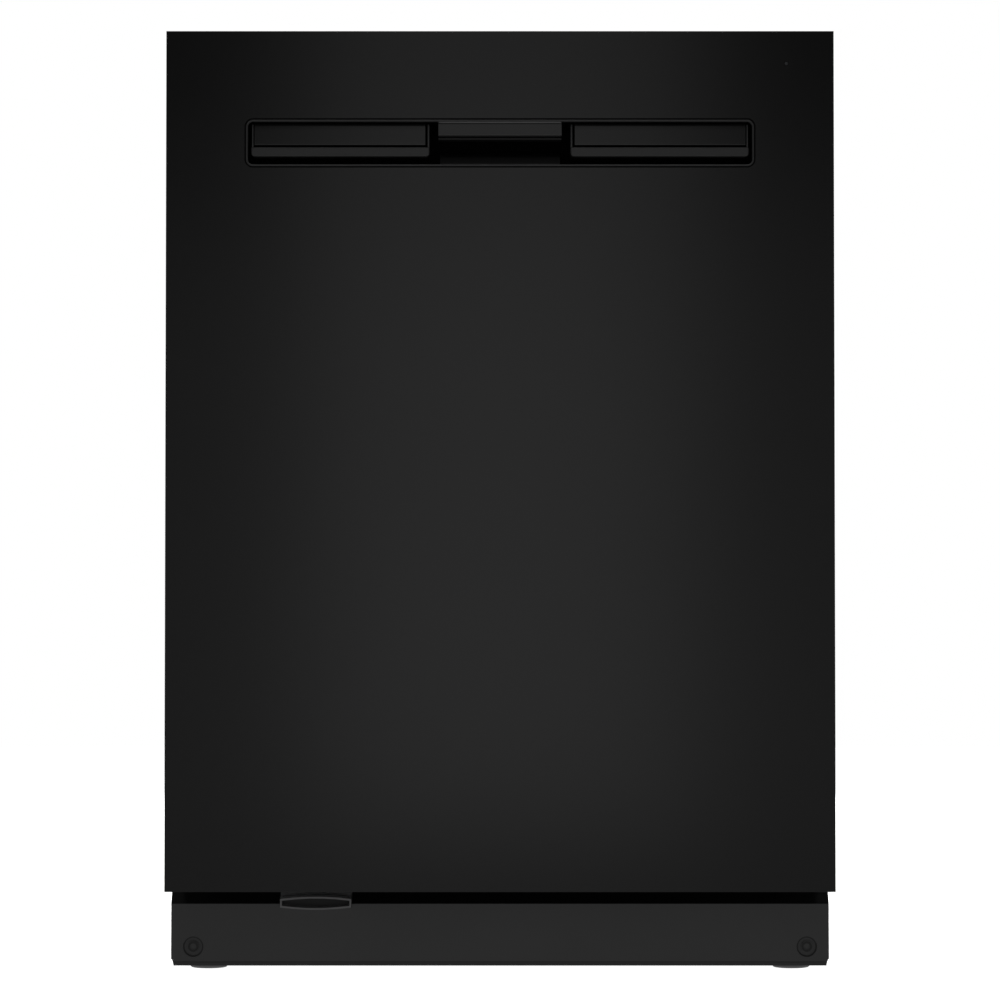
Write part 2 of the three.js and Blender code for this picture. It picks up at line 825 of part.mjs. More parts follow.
// A spray arm: a hub with a blind bore, and two flat blades with tapered tips.
function sprayArm({ x, y, low, high, reach, bore, boreDepth, fromTop }) {
  const blade = { low: low + 4, high: high - 4 };
  const outline = [
    [-reach, -9],
    [-reach + 14, -17],
    [-40, -19],
    [40, -19],
    [reach - 14, -17],
    [reach, -9],
    [reach, 9],
    [reach - 14, 17],
    [40, 19],
    [-40, 19],
    [-reach + 14, 17],
    [-reach, 9],
  ].map(([u, v]) => [x + u, y + v]);
  const from = fromTop ? high - boreDepth : low - 1;
  const to = fromTop ? high + 1 : low + boreDepth;
  return cut(
    join(extrude("z", outline, blade.low, blade.high), rod("z", 24, low, high, [x, y], 24)),
    rod("z", bore, from, to, [x, y], 20),
  );
}

const FEED = { half: 18, front: 271, back: TUB_BACK - THIN - GAP, port: 422 };
const UPPER_ARM = { low: 786, high: 802 };
const RACK_ARM = { low: 400, high: 415 };

function feedTube() {
  const { half, front, back, port } = FEED;
  const ceiling = TUB_TOP - THIN - GAP;
  return join(
    block([-half, front, WELL.floor + 22], [half, back, ceiling]),
    block([-half, ARM.y - half, 808], [half, back, ceiling]),
    rod("z", 7, UPPER_ARM.low + 6, 810, [ARM.x, ARM.y], 16),
    rod("y", 10, front - 9, front + 2, [0, port], 16),
  );
}

function sprayManifold() {
  const low = RACK_ARM.high + 1.5;
  const high = UPPER_RACK.floor - 2;
  return join(
    block([-13, RACK_ARM_Y - 18, low], [13, FEED.front - 14, high]),
    rod("z", 8, RACK_ARM.low + 5, low + 2, [0, RACK_ARM_Y], 16),
  );
}

function heatingElement() {
  const ring = { radius: 150, z: 108, tube: 3.5 };
  const points = [];
  const turnStart = THREE.MathUtils.degToRad(-82);
  const turnEnd = THREE.MathUtils.degToRad(262);
  const place = (turn, z) => {
    const x = ARM.x - ring.radius * Math.sin(turn);
    return new THREE.Vector3(x, ARM.y + ring.radius * Math.cos(turn), z);
  };
  const middle = THREE.MathUtils.degToRad(90);
  points.push(place(turnStart - middle, WELL.floor + GAP));
  for (const turn of spread(turnStart, turnEnd, 24)) points.push(place(turn - middle, ring.z));
  points.push(place(turnEnd - middle, WELL.floor + GAP));
  const path = new THREE.CatmullRomCurve3(points, false, "centripetal");
  const section = new THREE.Shape().absarc(0, 0, ring.tube, 0, 2 * Math.PI);
  return new THREE.ExtrudeGeometry(section, { steps: 56, extrudePath: path, curveSegments: 4 });
}

function circulationPump() {
  const centre = [ARM.y, 60];
  return join(
    rod("x", 32, 102, 124, centre, 24),
    rod("x", 29, 122, 205, centre, 24),
    rod("x", 9, 203, 216, centre, 12),
    block([140, ARM.y - 20, BASE.low + BASE.wall + GAP], [180, ARM.y + 20, 40]),
  );
}

function drainPump() {
  const centre = [0, 52];
  return join(
    rod("x", 24, -128, -104, centre, 20),
    rod("x", 18, -172, -126, centre, 20),
    rod("y", 9, 10, 62, [-116, 52], 14),
  );
}

function inletValve() {
  const low = BASE.low + BASE.wall + GAP;
  return join(
    block([-214, -190, low], [-172, -150, 52]),
    rod("z", 12, 50, 82, [-193, -172], 16),
    rod("y", 8, -152, -120, [-193, 38], 14),
  );
}

add("sump", sump(), DARK_PLASTIC);
add("filter_plate", filterPlate(), STAINLESS);
add("filter_cylinder", filterCylinder(), GREY_PLASTIC);
add("overfill_float", overfillFloat(), PALE_PLASTIC);
add("heating_element", heatingElement(), STAINLESS);
add("feed_tube", feedTube(), PALE_PLASTIC);
add("circulation_pump", circulationPump(), DARK_PLASTIC);
add("drain_pump", drainPump(), DARK_PLASTIC);
add("inlet_valve", inletValve(), PALE_PLASTIC);
const lowerArm = {
  ...ARM,
  low: 122,
  high: 140,
  reach: 232,
  bore: POST.spigot + 0.7,
  boreDepth: 14,
};
add("lower_spray_arm", sprayArm(lowerArm), GREY_PLASTIC);
const upperArm = { ...ARM, ...UPPER_ARM, reach: 105, bore: 7.7, boreDepth: 12, fromTop: true };
add("upper_spray_arm", sprayArm(upperArm), GREY_PLASTIC);

// ---------------------------------------------------------------- racks
// An open wire basket: a floor grid, two rails all round and uprights between them.
function wireRack({ half, front, back, floor, rim, taper }) {
  const wire = 4;
  const upright = 3.2; // thinner than the rails, so that no faces line up
  const foot = front + taper; // the front wall leans back towards its foot
  const middle = (floor + rim) / 2;
  const lean = (z) => foot - (taper * (z - floor)) / (rim - floor);
  const crosswise = floor + 2;
  const lengthwise = floor + 5;
  const across = spread(-half, half, 7);
  const along = spread(foot, back, 6);
  const wires = [];
  for (const x of across) {
    wires.push(bar([x, foot, crosswise], [x, back, crosswise], wire));
    wires.push(bar([x, foot, crosswise], [x, lean(rim), rim], upright));
    wires.push(bar([x, back, crosswise], [x, back, rim], upright));
  }
  for (const y of along) wires.push(bar([-half, y, lengthwise], [half, y, lengthwise], wire));
  for (const y of along.slice(1, -1))
    for (const x of [-half, half]) wires.push(bar([x, y, lengthwise], [x, y, rim], upright));
  const grow = wire / 2;
  for (const z of [middle, rim]) {
    const rail = block(
      [-half - grow, lean(z) - grow, z - grow],
      [half + grow, back + grow, z + grow],
    );
    const inside = block(
      [-half + grow, lean(z) + grow, z - wire],
      [half - grow, back - grow, z + wire],
    );
    wires.push(cut(rail, inside));
  }
  return wires;
}

function lowerRack() {
  const { half } = LOWER_RACK;
  const axle = (y) => rod("x", 4, half - 3, WHEEL.outer - 3, [y, WHEEL.z], 12);
  const hanger = (y) => block([half - 3, y - 6, WHEEL.z - 6], [half + 3, y + 6, 170]);
  const mounts = [WHEEL.front, WHEEL.rear].flatMap((y) => [axle(y), hanger(y)]);
  return join(...wireRack(LOWER_RACK), ...mounts, ...mounts.map((piece) => mirrored(piece, -1)));
}

function wheel(y) {
  const { radius, inner, outer } = WHEEL;
  return cut(
    rod("x", radius, inner, outer, [y, WHEEL.z], 24),
    rod("x", 4.7, inner - 1, outer + 1, [y, WHEEL.z], 16),
  );
}

function silverwareBasket() {
  const { x0, x1, y0, y1, z0, z1, cells } = BASKET;
  const wall = 2;
  const pitch = (y1 - y0 - wall) / cells;
  const pockets = Array.from({ length: cells }, (_, i) =>
    block(
      [x0 + wall, y0 + wall + i * pitch, z0 + wall],
      [x1 - wall, y0 + (i + 1) * pitch, z1 + 1],
    ),
  );
  const middle = (x0 + x1) / 2;
  const centre = (y0 + y1) / 2;
  const handle = cut(
    block([middle - 2.5, centre - 45, z1 - 12], [middle + 2.5, centre + 45, z1 + 24]),
    block([middle - 4, centre - 39, z1 - 20], [middle + 4, centre + 39, z1 + 18]),
  );
  const bridges = [-42, 42].map((shift) =>
    block([x0 + 1, centre + shift - 3, z1 - 12], [x1 - 1, centre + shift + 3, z1 - 6]),
  );
  return join(cut(block([x0, y0, z0], [x1, y1, z1]), ...pockets), handle, ...bridges);
}

function upperRack() {
  const { half } = UPPER_RACK;
  const adjuster = block([half - 2, -55, TRACK.z - 28], [TRACK.web - GAP, 55, TRACK.z + 18]);
  return join(...wireRack(UPPER_RACK), adjuster, mirrored(adjuster, -1));
}

// The upper rack's track: a channel that is open towards the tub wall and runs on the rollers.
function rackTrack() {
  const { z, web, lip, half, front, rear } = TRACK;
  const skin = 1.4;
  return cut(
    block([web, front, z - half], [lip, rear, z + half]),
    block([web + skin, front - 1, z - half + skin], [lip + 1, rear + 1, z + half - skin]),
  );
}

function trackRollers() {
  const wallFace = TUB_HALF - THIN - GAP;
  const places = [-222, -150];
  const plate = block([wallFace - 3, -234, TRACK.z - 10], [wallFace, -138, TRACK.z + 10]);
  return join(
    plate,
    ...places.map((y) => rod("x", 9, TRACK.web + 3, TRACK.lip - 1, [y, TRACK.z], 20)),
    ...places.map((y) => rod("x", 3, TRACK.web + 3, wallFace - 1, [y, TRACK.z], 10)),
  );
}

add("lower_rack", lowerRack(), RACK_VINYL);
for (const [end, y] of Object.entries({ front: WHEEL.front, rear: WHEEL.rear }))
  addPair(`${end}_wheel`, wheel(y), GREY_PLASTIC);
add("silverware_basket", silverwareBasket(), GREY_PLASTIC);
add("upper_rack", upperRack(), RACK_VINYL);
addPair("rack_track", rackTrack(), STAINLESS);
addPair("track_rollers", trackRollers(), PALE_PLASTIC);
add("spray_manifold", sprayManifold(), GREY_PLASTIC);
const rackArm = {
  x: 0,
  y: RACK_ARM_Y,
  ...RACK_ARM,
  reach: 222,
  bore: 8.8,
  boreDepth: 11,
  fromTop: true,
};
add("middle_spray_arm", sprayArm(rackArm), GREY_PLASTIC);

export default dishwasher;
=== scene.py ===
"""A built-in dishwasher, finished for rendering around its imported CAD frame.

Every piece is placed from the frame's own boxes. Metres, X right, Y back, Z up, door facing -Y.
"""

import math

import bmesh
import bpy
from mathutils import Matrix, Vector


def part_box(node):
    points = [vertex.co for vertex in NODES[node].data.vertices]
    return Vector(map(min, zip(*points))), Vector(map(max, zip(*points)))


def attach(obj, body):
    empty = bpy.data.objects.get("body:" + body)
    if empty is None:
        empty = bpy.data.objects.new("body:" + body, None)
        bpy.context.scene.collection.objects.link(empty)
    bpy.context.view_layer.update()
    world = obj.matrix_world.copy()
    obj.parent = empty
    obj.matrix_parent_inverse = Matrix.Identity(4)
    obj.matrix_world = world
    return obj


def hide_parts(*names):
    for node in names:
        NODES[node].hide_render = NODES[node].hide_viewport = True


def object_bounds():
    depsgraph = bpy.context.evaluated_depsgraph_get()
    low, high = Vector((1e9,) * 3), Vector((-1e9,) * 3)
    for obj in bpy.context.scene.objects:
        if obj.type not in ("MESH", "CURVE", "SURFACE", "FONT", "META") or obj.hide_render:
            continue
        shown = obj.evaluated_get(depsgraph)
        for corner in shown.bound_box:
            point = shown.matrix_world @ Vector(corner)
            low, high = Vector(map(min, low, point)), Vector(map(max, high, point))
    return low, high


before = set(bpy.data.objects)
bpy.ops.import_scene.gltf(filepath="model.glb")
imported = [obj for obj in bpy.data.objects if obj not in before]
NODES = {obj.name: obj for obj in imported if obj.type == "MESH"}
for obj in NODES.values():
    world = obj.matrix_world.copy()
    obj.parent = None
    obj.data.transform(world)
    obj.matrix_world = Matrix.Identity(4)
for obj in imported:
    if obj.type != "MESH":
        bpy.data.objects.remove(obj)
cad_low, cad_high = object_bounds()
MM = 0.001


# ------------------------------------------------------------------ materials
def blank_material(name, colour, roughness, metallic=0.0):
    """A material with one Principled shader, and its node tree for what is added to it."""
    material = bpy.data.materials.new(name)
    material.use_nodes = True
    tree = material.node_tree
    shader = tree.nodes["Principled BSDF"]
    shader.inputs["Base Color"].default_value = (*colour, 1)
    shader.inputs["Roughness"].default_value = roughness
    shader.inputs["Metallic"].default_value = metallic
    return material, tree, shader


def add_node(tree, kind, **settings):
    """A node with its properties and input values set from keyword names."""
    node = tree.nodes.new(kind)
    for key, value in settings.items():
        socket = key.replace("_", " ")
        if socket in node.inputs:
            node.inputs[socket].default_value = value
        else:
            setattr(node, key, value)
    return node


def place(tree, stretch=(1, 1, 1)):
    """The piece's own coordinates, stretched for brushed or woven patterns."""
    coordinates = add_node(tree, "ShaderNodeTexCoord")
    mapping = add_node(tree, "ShaderNodeMapping", Scale=stretch)
    tree.links.new(coordinates.outputs["Object"], mapping.inputs["Vector"])
    return mapping.outputs["Vector"]


def noise(tree, where, scale, detail=3.0):
    """A cloudy value from 0 to 1; the larger its scale, the finer its grain."""
    node = add_node(tree, "ShaderNodeTexNoise", Scale=scale, Detail=detail)
    tree.links.new(where, node.inputs["Vector"])
    return node.outputs["Fac"]


def ramp(tree, value, low, high):
    """value from 0..1 to low..high, for a number socket."""
    node = add_node(tree, "ShaderNodeMapRange")
    node.inputs["To Min"].default_value = low
    node.inputs["To Max"].default_value = high
    tree.links.new(value, node.inputs["Value"])
    return node.outputs["Result"]


def tint(tree, value, dark, light):
    """A colour between dark and light, following value."""
    node = add_node(tree, "ShaderNodeMix", data_type="RGBA")
    sockets = {(socket.name, socket.type): socket for socket in node.inputs}
    tree.links.new(value, sockets["Factor", "VALUE"])
    sockets["A", "RGBA"].default_value = (*dark, 1)
    sockets["B", "RGBA"].default_value = (*light, 1)
    return next(s for s in node.outputs if s.type == "RGBA")


def bump(tree, shader, height, distance):
    """Relief of the surface, distance metres deep, that follows height."""
    node = add_node(tree, "ShaderNodeBump", Distance=distance)
    tree.links.new(height, node.inputs["Height"])
    tree.links.new(node.outputs["Normal"], shader.inputs["Normal"])


CLOUD_SCALE = 14.0


def grained(name, colour, roughness, grain=900.0, depth=0.00002, metallic=0.0, spread=0.06):
    """Moulded or painted stuff: a fine grain, slightly uneven gloss and colour."""
    material, tree, shader = blank_material(name, colour, roughness, metallic)
    where = place(tree)
    cloudy = noise(tree, where, CLOUD_SCALE)
    fine = noise(tree, where, grain, 2.0)
    light = tuple(min(1.0, c * 1.12) for c in colour)
    dark = tuple(c * 0.9 for c in colour)
    tree.links.new(tint(tree, cloudy, dark, light), shader.inputs["Base Color"])
    uneven = ramp(tree, cloudy, roughness - spread / 2, roughness + spread / 2)
    tree.links.new(uneven, shader.inputs["Roughness"])
    bump(tree, shader, fine, depth)
    return material


def brushed(name, colour, roughness, along):
    """Rolled or brushed metal with its lines along one axis."""
    material, tree, shader = blank_material(name, colour, roughness, 1.0)
    stretch = [240.0, 240.0, 240.0]
    stretch["xyz".index(along)] = 3.0
    lines = noise(tree, place(tree, stretch), 5.0, 4.0)
    cloudy = noise(tree, place(tree), 6.0)
    dark = tuple(c * 0.86 for c in colour)
    tree.links.new(tint(tree, lines, dark, colour), shader.inputs["Base Color"])
    uneven = ramp(tree, cloudy, roughness - 0.05, roughness + 0.07)
    tree.links.new(uneven, shader.inputs["Roughness"])
    bump(tree, shader, lines, 0.00003)
    return material


def fibre_blanket(name):
    """Grey recycled-fibre blanket: flecks of lighter thread in a matted pile."""
    material, tree, shader = blank_material(name, (0.10, 0.10, 0.11), 0.95)
    where = place(tree)
    flecks = noise(tree, place(tree, (1, 5, 1)), 420.0, 6.0)
    matted = noise(tree, where, 150.0, 8.0)
    both = add_node(tree, "ShaderNodeMath", operation="MULTIPLY")
    tree.links.new(flecks, both.inputs[0])
    tree.links.new(matted, both.inputs[1])
    speckle = ramp(tree, both.outputs[0], -0.6, 2.4)
    colours = tint(tree, speckle, (0.06, 0.061, 0.065), (0.24, 0.24, 0.25))
    tree.links.new(colours, shader.inputs["Base Color"])
    shader.inputs["Sheen Weight"].default_value = 0.3
    bump(tree, shader, matted, 0.0012)
    return material


DOOR_BLACK = grained("door_black", (0.003, 0.003, 0.0031), 0.21, 1400.0, 0.000012, spread=0.02)
POCKET_BLACK = grained("pocket_black", (0.006, 0.006, 0.0062), 0.34, 2200.0, 0.00001)
PANEL_BLACK = grained("panel_black", (0.006, 0.006, 0.0062), 0.22, 1600.0, 0.000006)
SATIN_BLACK = grained("pocket_satin", (0.045, 0.045, 0.0453), 0.40, 2200.0, 0.00001)
# Near black for the pocket's inner walls: painted shade in the recess.
POCKET_PAINTED_SHADE = grained("pocket_painted_shade", (0.0015, 0.0015, 0.0015), 0.75, 900.0, 0.00001)
SCOOP_BLACK = grained("pocket_scoop", (0.012, 0.012, 0.0122), 0.5, 900.0, 0.00001)
# Painted shade for the rings at the toe screws' dimples and heads.
TOE_SCREW_SHADE = grained("toe_screw_shade", (0.024, 0.024, 0.0242), 0.5, 1400.0, 0.00001)
# Near black for the band round the handle trim: painted shade of the groove.
TRIM_GROOVE_SHADE = grained("trim_groove_shade", (0.004, 0.004, 0.0041), 0.7, 900.0, 0.00001)
# Pale grey for a strip along the grip's top edge: a painted highlight.
GRIP_PAINTED_HIGHLIGHT = grained("grip_painted_highlight", (0.21, 0.21, 0.2115), 0.35, 1400.0, 0.00001)
TOE_BLACK = grained("toe_black", (0.085, 0.085, 0.0853), 0.45, 1400.0, 0.00001)
# A little darker than the toe panel: painted shade on its hemmed strip.
TOE_HEM_SHADE = grained("toe_hem_shade", (0.062, 0.062, 0.0622), 0.5, 1400.0, 0.00001)
# Near black for the toe panel's leaning top: painted shade under the door.
TOE_SHADE = grained("toe_shade", (0.004, 0.004, 0.004), 0.6, 1400.0, 0.00001)
# Near black for the spout's flap: painted shade inside the spout.
SPOUT_SHADE = grained("spout_shade", (0.03, 0.03, 0.0303), 0.6, 1400.0, 0.00001)
SPOUT_GREY = grained("spout_grey", (0.26, 0.26, 0.262), 0.4, 1400.0, 0.00001)
# The painted-shade materials lose most of their specular, so they stay dark.
MATT_SPECULAR = 0.08
for matt in (POCKET_PAINTED_SHADE, TRIM_GROOVE_SHADE, TOE_SHADE):
    sockets = matt.node_tree.nodes["Principled BSDF"].inputs
    sockets["Specular IOR Level"].default_value = MATT_SPECULAR
STEEL_X = brushed("tub_steel", (0.60, 0.60, 0.61), 0.30, "x")
STEEL_Y = brushed("track_steel", (0.58, 0.58, 0.59), 0.28, "y")
ZINC = grained("zinc_plate", (0.50, 0.51, 0.52), 0.42, 500.0, 0.00002, metallic=0.9, spread=0.2)
HEATER = grained("heater_sheath", (0.30, 0.29, 0.28), 0.45, 700.0, 0.00002, metallic=0.9)
BUTTON_GREY = grained("button_grey", (0.055, 0.056, 0.058), 0.35, 2000.0, 0.000008)
GREY_PLASTIC = grained("grey_plastic", (0.20, 0.215, 0.23), 0.42, 1200.0, 0.00002)
PALE_PLASTIC = grained("pale_plastic", (0.55, 0.57, 0.58), 0.40, 1200.0, 0.00002)
FOOT_GREY = grained("foot_nylon", (0.30, 0.30, 0.305), 0.5, 900.0, 0.00003)
DARK_PLASTIC = grained("dark_plastic", (0.022, 0.023, 0.025), 0.5, 700.0, 0.00004)
RUBBER = grained("rubber", (0.010, 0.010, 0.010), 0.7, 1500.0, 0.00003)
BLANKET = fibre_blanket("fibre_blanket")
RACK_VINYL = grained("rack_vinyl", (0.16, 0.185, 0.21), 0.30, 600.0, 0.00002)
LENS = grained("lens", (0.10, 0.105, 0.11), 0.15, 800.0, 0.000004)


# ------------------------------------------------------------------ CAD nodes kept
SHARP_FROM = 50
TOE_FLANGE_LOW = 63 * MM
TOE_HEM_TOP = 11.4 * MM


def finish_node(name, material, edge=0.0, smooth=32):
    """Gives a CAD node its material, smooth rounds and, where edge is set, softened edges."""
    node = NODES[name]
    node.data.materials.clear()
    node.data.materials.append(material)
    node.data.shade_smooth()
    node.data.set_sharp_from_angle(angle=math.radians(smooth))
    if edge:
        rounding = node.modifiers.new("edges", "BEVEL")
        rounding.width = edge
        rounding.segments = 2
        rounding.limit_method = "ANGLE"
        rounding.angle_limit = math.radians(SHARP_FROM)
        rounding.harden_normals = True


def both_sides(name):
    """The names of a left and right pair of nodes."""
    return (f"{name}_left", f"{name}_right")


KEPT = [
    (("door_panel",), DOOR_BLACK, 0.9 * MM),
    (("pocket_handle",), POCKET_BLACK, 0.7 * MM),
    (("status_lens",), LENS, 0),
    (("door_liner",), STEEL_X, 0),
    (("control_panel",), PANEL_BLACK, 0.3 * MM),
    (("latch_hook", "latch_strike"), ZINC, 0.2 * MM),
    (("dispenser_body",), GREY_PLASTIC, 0.4 * MM),
    (("detergent_lid",), PALE_PLASTIC, 0.5 * MM),
    (("rinse_aid_cap",), DARK_PLASTIC, 0.4 * MM),
    (("door_bottom_seal", "tub_gasket"), RUBBER, 0),
    (both_sides("hinge_arm"), ZINC, 0.3 * MM),
    (both_sides("hinge_bracket"), ZINC, 0.3 * MM),
    (both_sides("door_spring"), ZINC, 0),
    (both_sides("counter_bracket"), ZINC, 0.2 * MM),
    (("tub",), STEEL_X, 0),
    (("base_frame",), DARK_PLASTIC, 0.6 * MM),
    (("sound_blanket",), BLANKET, 0),
    (("toe_panel",), TOE_BLACK, 0.4 * MM),
    (both_sides("toe_screw"), TOE_BLACK, 0.25 * MM),
    (("drip_spout",), SPOUT_GREY, 0.5 * MM),
    (both_sides("front_foot") + both_sides("rear_foot"), FOOT_GREY, 0.3 * MM),
    (("sump", "circulation_pump", "drain_pump"), DARK_PLASTIC, 0.5 * MM),
    (("inlet_valve", "overfill_float"), PALE_PLASTIC, 0.5 * MM),
    (("feed_tube",), PALE_PLASTIC, 0.8 * MM),
    (("filter_plate",), STEEL_X, 0),
    (("filter_cylinder",), GREY_PLASTIC, 0.4 * MM),
    (("heating_element",), HEATER, 0),
    (("lower_spray_arm", "middle_spray_arm", "upper_spray_arm"), GREY_PLASTIC, 1.0 * MM),
    (("spray_manifold",), GREY_PLASTIC, 1.0 * MM),
    (both_sides("front_wheel") + both_sides("rear_wheel"), GREY_PLASTIC, 0.6 * MM),
    (("silverware_basket",), GREY_PLASTIC, 0.3 * MM),
    (both_sides("rack_track"), STEEL_Y, 0),
    (both_sides("track_rollers"), PALE_PLASTIC, 0.3 * MM),
    (("lower_rack", "upper_rack"), RACK_VINYL, 0),
]
BUTTONS = ("cycle", "option", "delay", "cancel", "start")

for names, material, edge in KEPT:
    for name in names:
        finish_node(name, material, edge)
for word in BUTTONS:
    finish_node(f"{word}_button", BUTTON_GREY, 0.6 * MM)


def shade_toe_panel():
    """The toe panel's leaning top is painted near black as the shade under the door's overhang, and the
    hemmed strip at its foot is painted a little darker as the shade at its step.
    """
    data = NODES["toe_panel"].data
    data.materials.append(TOE_SHADE)
    data.materials.append(TOE_HEM_SHADE)
    for face in data.polygons:
        if face.normal.z > 0.3 and face.center.z > TOE_FLANGE_LOW:
            face.material_index = 1
        elif face.center.z < TOE_HEM_TOP:
            face.material_index = 2


shade_toe_panel()


# ------------------------------------------------------------------ building pieces
def link_mesh(name, verts, faces, material, body, smooth=32):
    """A mesh piece that rides on a body."""
    data = bpy.data.meshes.new(name)
    data.from_pydata(verts, [], faces)
    data.materials.append(material)
    data.shade_smooth()
    data.set_sharp_from_angle(angle=math.radians(smooth))
    piece = bpy.data.objects.new(name, data)
    bpy.context.scene.collection.objects.link(piece)
    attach(piece, body)
    return piece


def link_wires(name, paths, radius, material, body):
    """Round wires as one piece. Each path is a list of points, and whether it closes on itself."""
    data = bpy.data.curves.new(name, "CURVE")
    data.dimensions = "3D"
    data.bevel_depth = radius
    data.bevel_resolution = 3
    data.use_fill_caps = True
    data.materials.append(material)
    for points, closed in paths:
        spline = data.splines.new("POLY")
        spline.points.add(len(points) - 1)
        for point, at in zip(spline.points, points):
            point.co = (*at, 1)
        spline.use_cyclic_u = closed
        spline.use_smooth = True
    piece = bpy.data.objects.new(name, data)
    bpy.context.scene.collection.objects.link(piece)
    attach(piece, body)
    return piece


def rounded_path(corners, radius, closed=False, steps=6):
    """The corners' line with each inner corner turned through an arc of that radius."""
    points = []
    count = len(corners)
    for i, corner in enumerate(corners):
        here = Vector(corner)
        if not closed and i in (0, count - 1):
            points.append(here)
            continue
        before = Vector(corners[i - 1]) - here
        after = Vector(corners[(i + 1) % count]) - here
        reach = min(radius, before.length / 2, after.length / 2)
        start = here + before.normalized() * reach
        end = here + after.normalized() * reach
        for k in range(steps + 1):
            t = k / steps
            a = start.lerp(here, t)
            b = here.lerp(end, t)
            points.append(a.lerp(b, t))
    return [tuple(p) for p in points]


def grid_faces(rows, columns, wrap=False, flip=False, closed=False):
    """Quads over a grid of points kept row by row.

    wrap joins the last column to the first, and closed the last row to the first.
    """
    faces = []
    for r in range(rows if closed else rows - 1):
        e = (r + 1) % rows
        for c in range(columns if wrap else columns - 1):
            d = (c + 1) % columns
            quad = (r * columns + c, r * columns + d, e * columns + d, e * columns + c)
            faces.append(quad[::-1] if flip else quad)
    return faces


def tube_faces(rows, columns, flip=False):
    """Faces round a stack of point rings, with a flat face at each end."""
    faces = grid_faces(rows, columns, wrap=True, flip=flip)
    first = tuple(range(columns))
    last = tuple(range((rows - 1) * columns, rows * columns))
    faces.append(first if flip else first[::-1])
    faces.append(last[::-1] if flip else last)
    return faces


def turned_rings(profile, centre, steps=40):
    """Points and faces of a turned body: profile is a list of (radius, z) from the bottom up."""
    verts = []
    for radius, z in profile:
        for k in range(steps):
            turn = 2 * math.pi * k / steps
            verts.append((centre[0] + radius * math.cos(turn), centre[1] + radius * math.sin(turn), z))
    return verts, tube_faces(len(profile), steps)


def merged(parts):
    """One list of points and faces from several."""
    verts, faces = [], []
    for more_verts, more_faces in parts:
        shift = len(verts)
        verts += more_verts
        faces += [tuple(i + shift for i in face) for face in more_faces]
    return verts, faces


def link_parts(name, parts, material, body, smooth=32):
    """Several lots of points and faces as one piece."""
    verts, faces = merged(parts)
    return link_mesh(name, verts, faces, material, body, smooth)


def soft_box(low, high, edge):
    """Points and faces of a box with its edges rounded off."""
    shape = bmesh.new()
    bmesh.ops.create_cube(shape, size=1)
    size = [h - l for l, h in zip(low, high)]
    for vert in shape.verts:
        vert.co = [l + (c + 0.5) * s for l, c, s in zip(low, vert.co, size)]
    bmesh.ops.bevel(
        shape,
        geom=shape.edges[:],
        offset=min(edge, min(size) * 0.45),
        segments=2,
        affect="EDGES",
        profile=0.6,
    )
    verts = [tuple(vert.co) for vert in shape.verts]
    faces = [tuple(vert.index for vert in face.verts) for face in shape.faces]
    shape.free()
    return verts, faces


def spaced(low, high, count):
    """count values from low to high, evenly spaced."""
    return [low + (high - low) * i / (count - 1) for i in range(count)]


def sided(side, inner, outer):
    """Two x values in order, from a side of -1 or 1 and two distances from the middle."""
    return sorted((side * inner, side * outer))


# ------------------------------------------------------------------ racks
RACK_HALF = {"lower_rack": 245 * MM, "upper_rack": 255 * MM}
THIN_WIRE, THICK_WIRE = 1.55 * MM, 2.3 * MM


def rack_wires(node, foot_set_back, floor, tines, mid_rail):
    """Coated wire basket: cradles across, cradles front to back, rims and plate tines.

    Each entry of tines is one row: its y, its first and last x, how many tines, and their height.
    """
    low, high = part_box(node)
    half = RACK_HALF[node]
    front = low.y + 2.4 * MM
    back = high.y - 2.2 * MM
    rim = high.z - 2.4 * MM
    foot = front + foot_set_back
    corner = 14 * MM
    thin_paths, thick_paths = [], []

    def lean(z):
        return foot - foot_set_back * (z - floor) / (rim - floor)

    for y in spaced(foot + 4 * MM, back - 3 * MM, 13):
        path = [(-half, y, rim), (-half, y, floor), (half, y, floor), (half, y, rim)]
        thin_paths.append((rounded_path(path, corner), False))
    for x in spaced(-half + 24 * MM, half - 24 * MM, 12):
        z = floor + 2.6 * MM
        path = [(x, lean(rim), rim), (x, foot, z), (x, back, z), (x, back, rim)]
        thin_paths.append((rounded_path(path, corner), False))
    for z in (rim, mid_rail):
        outline = [(-half, lean(z), z), (half, lean(z), z), (half, back, z), (-half, back, z)]
        kind = thick_paths if z == rim else thin_paths
        kind.append((rounded_path(outline, 22 * MM, closed=True), True))
    for y, x0, x1, count, height in tines:
        rail = [(x0 - 6 * MM, y, floor + 5 * MM), (x1 + 6 * MM, y, floor + 5 * MM)]
        thin_paths.append((rail, False))
        bend = floor + height * 0.8
        for x in spaced(x0, x1, count):
            path = [(x, y, floor + 3 * MM), (x, y, bend), (x, y + 5 * MM, floor + height)]
            thin_paths.append((rounded_path(path, 12 * MM), False))
    wires = link_wires(f"{node}_wires", thin_paths, THIN_WIRE, RACK_VINYL, node)
    link_wires(f"{node}_rim", thick_paths, THICK_WIRE, RACK_VINYL, node)
    return wires


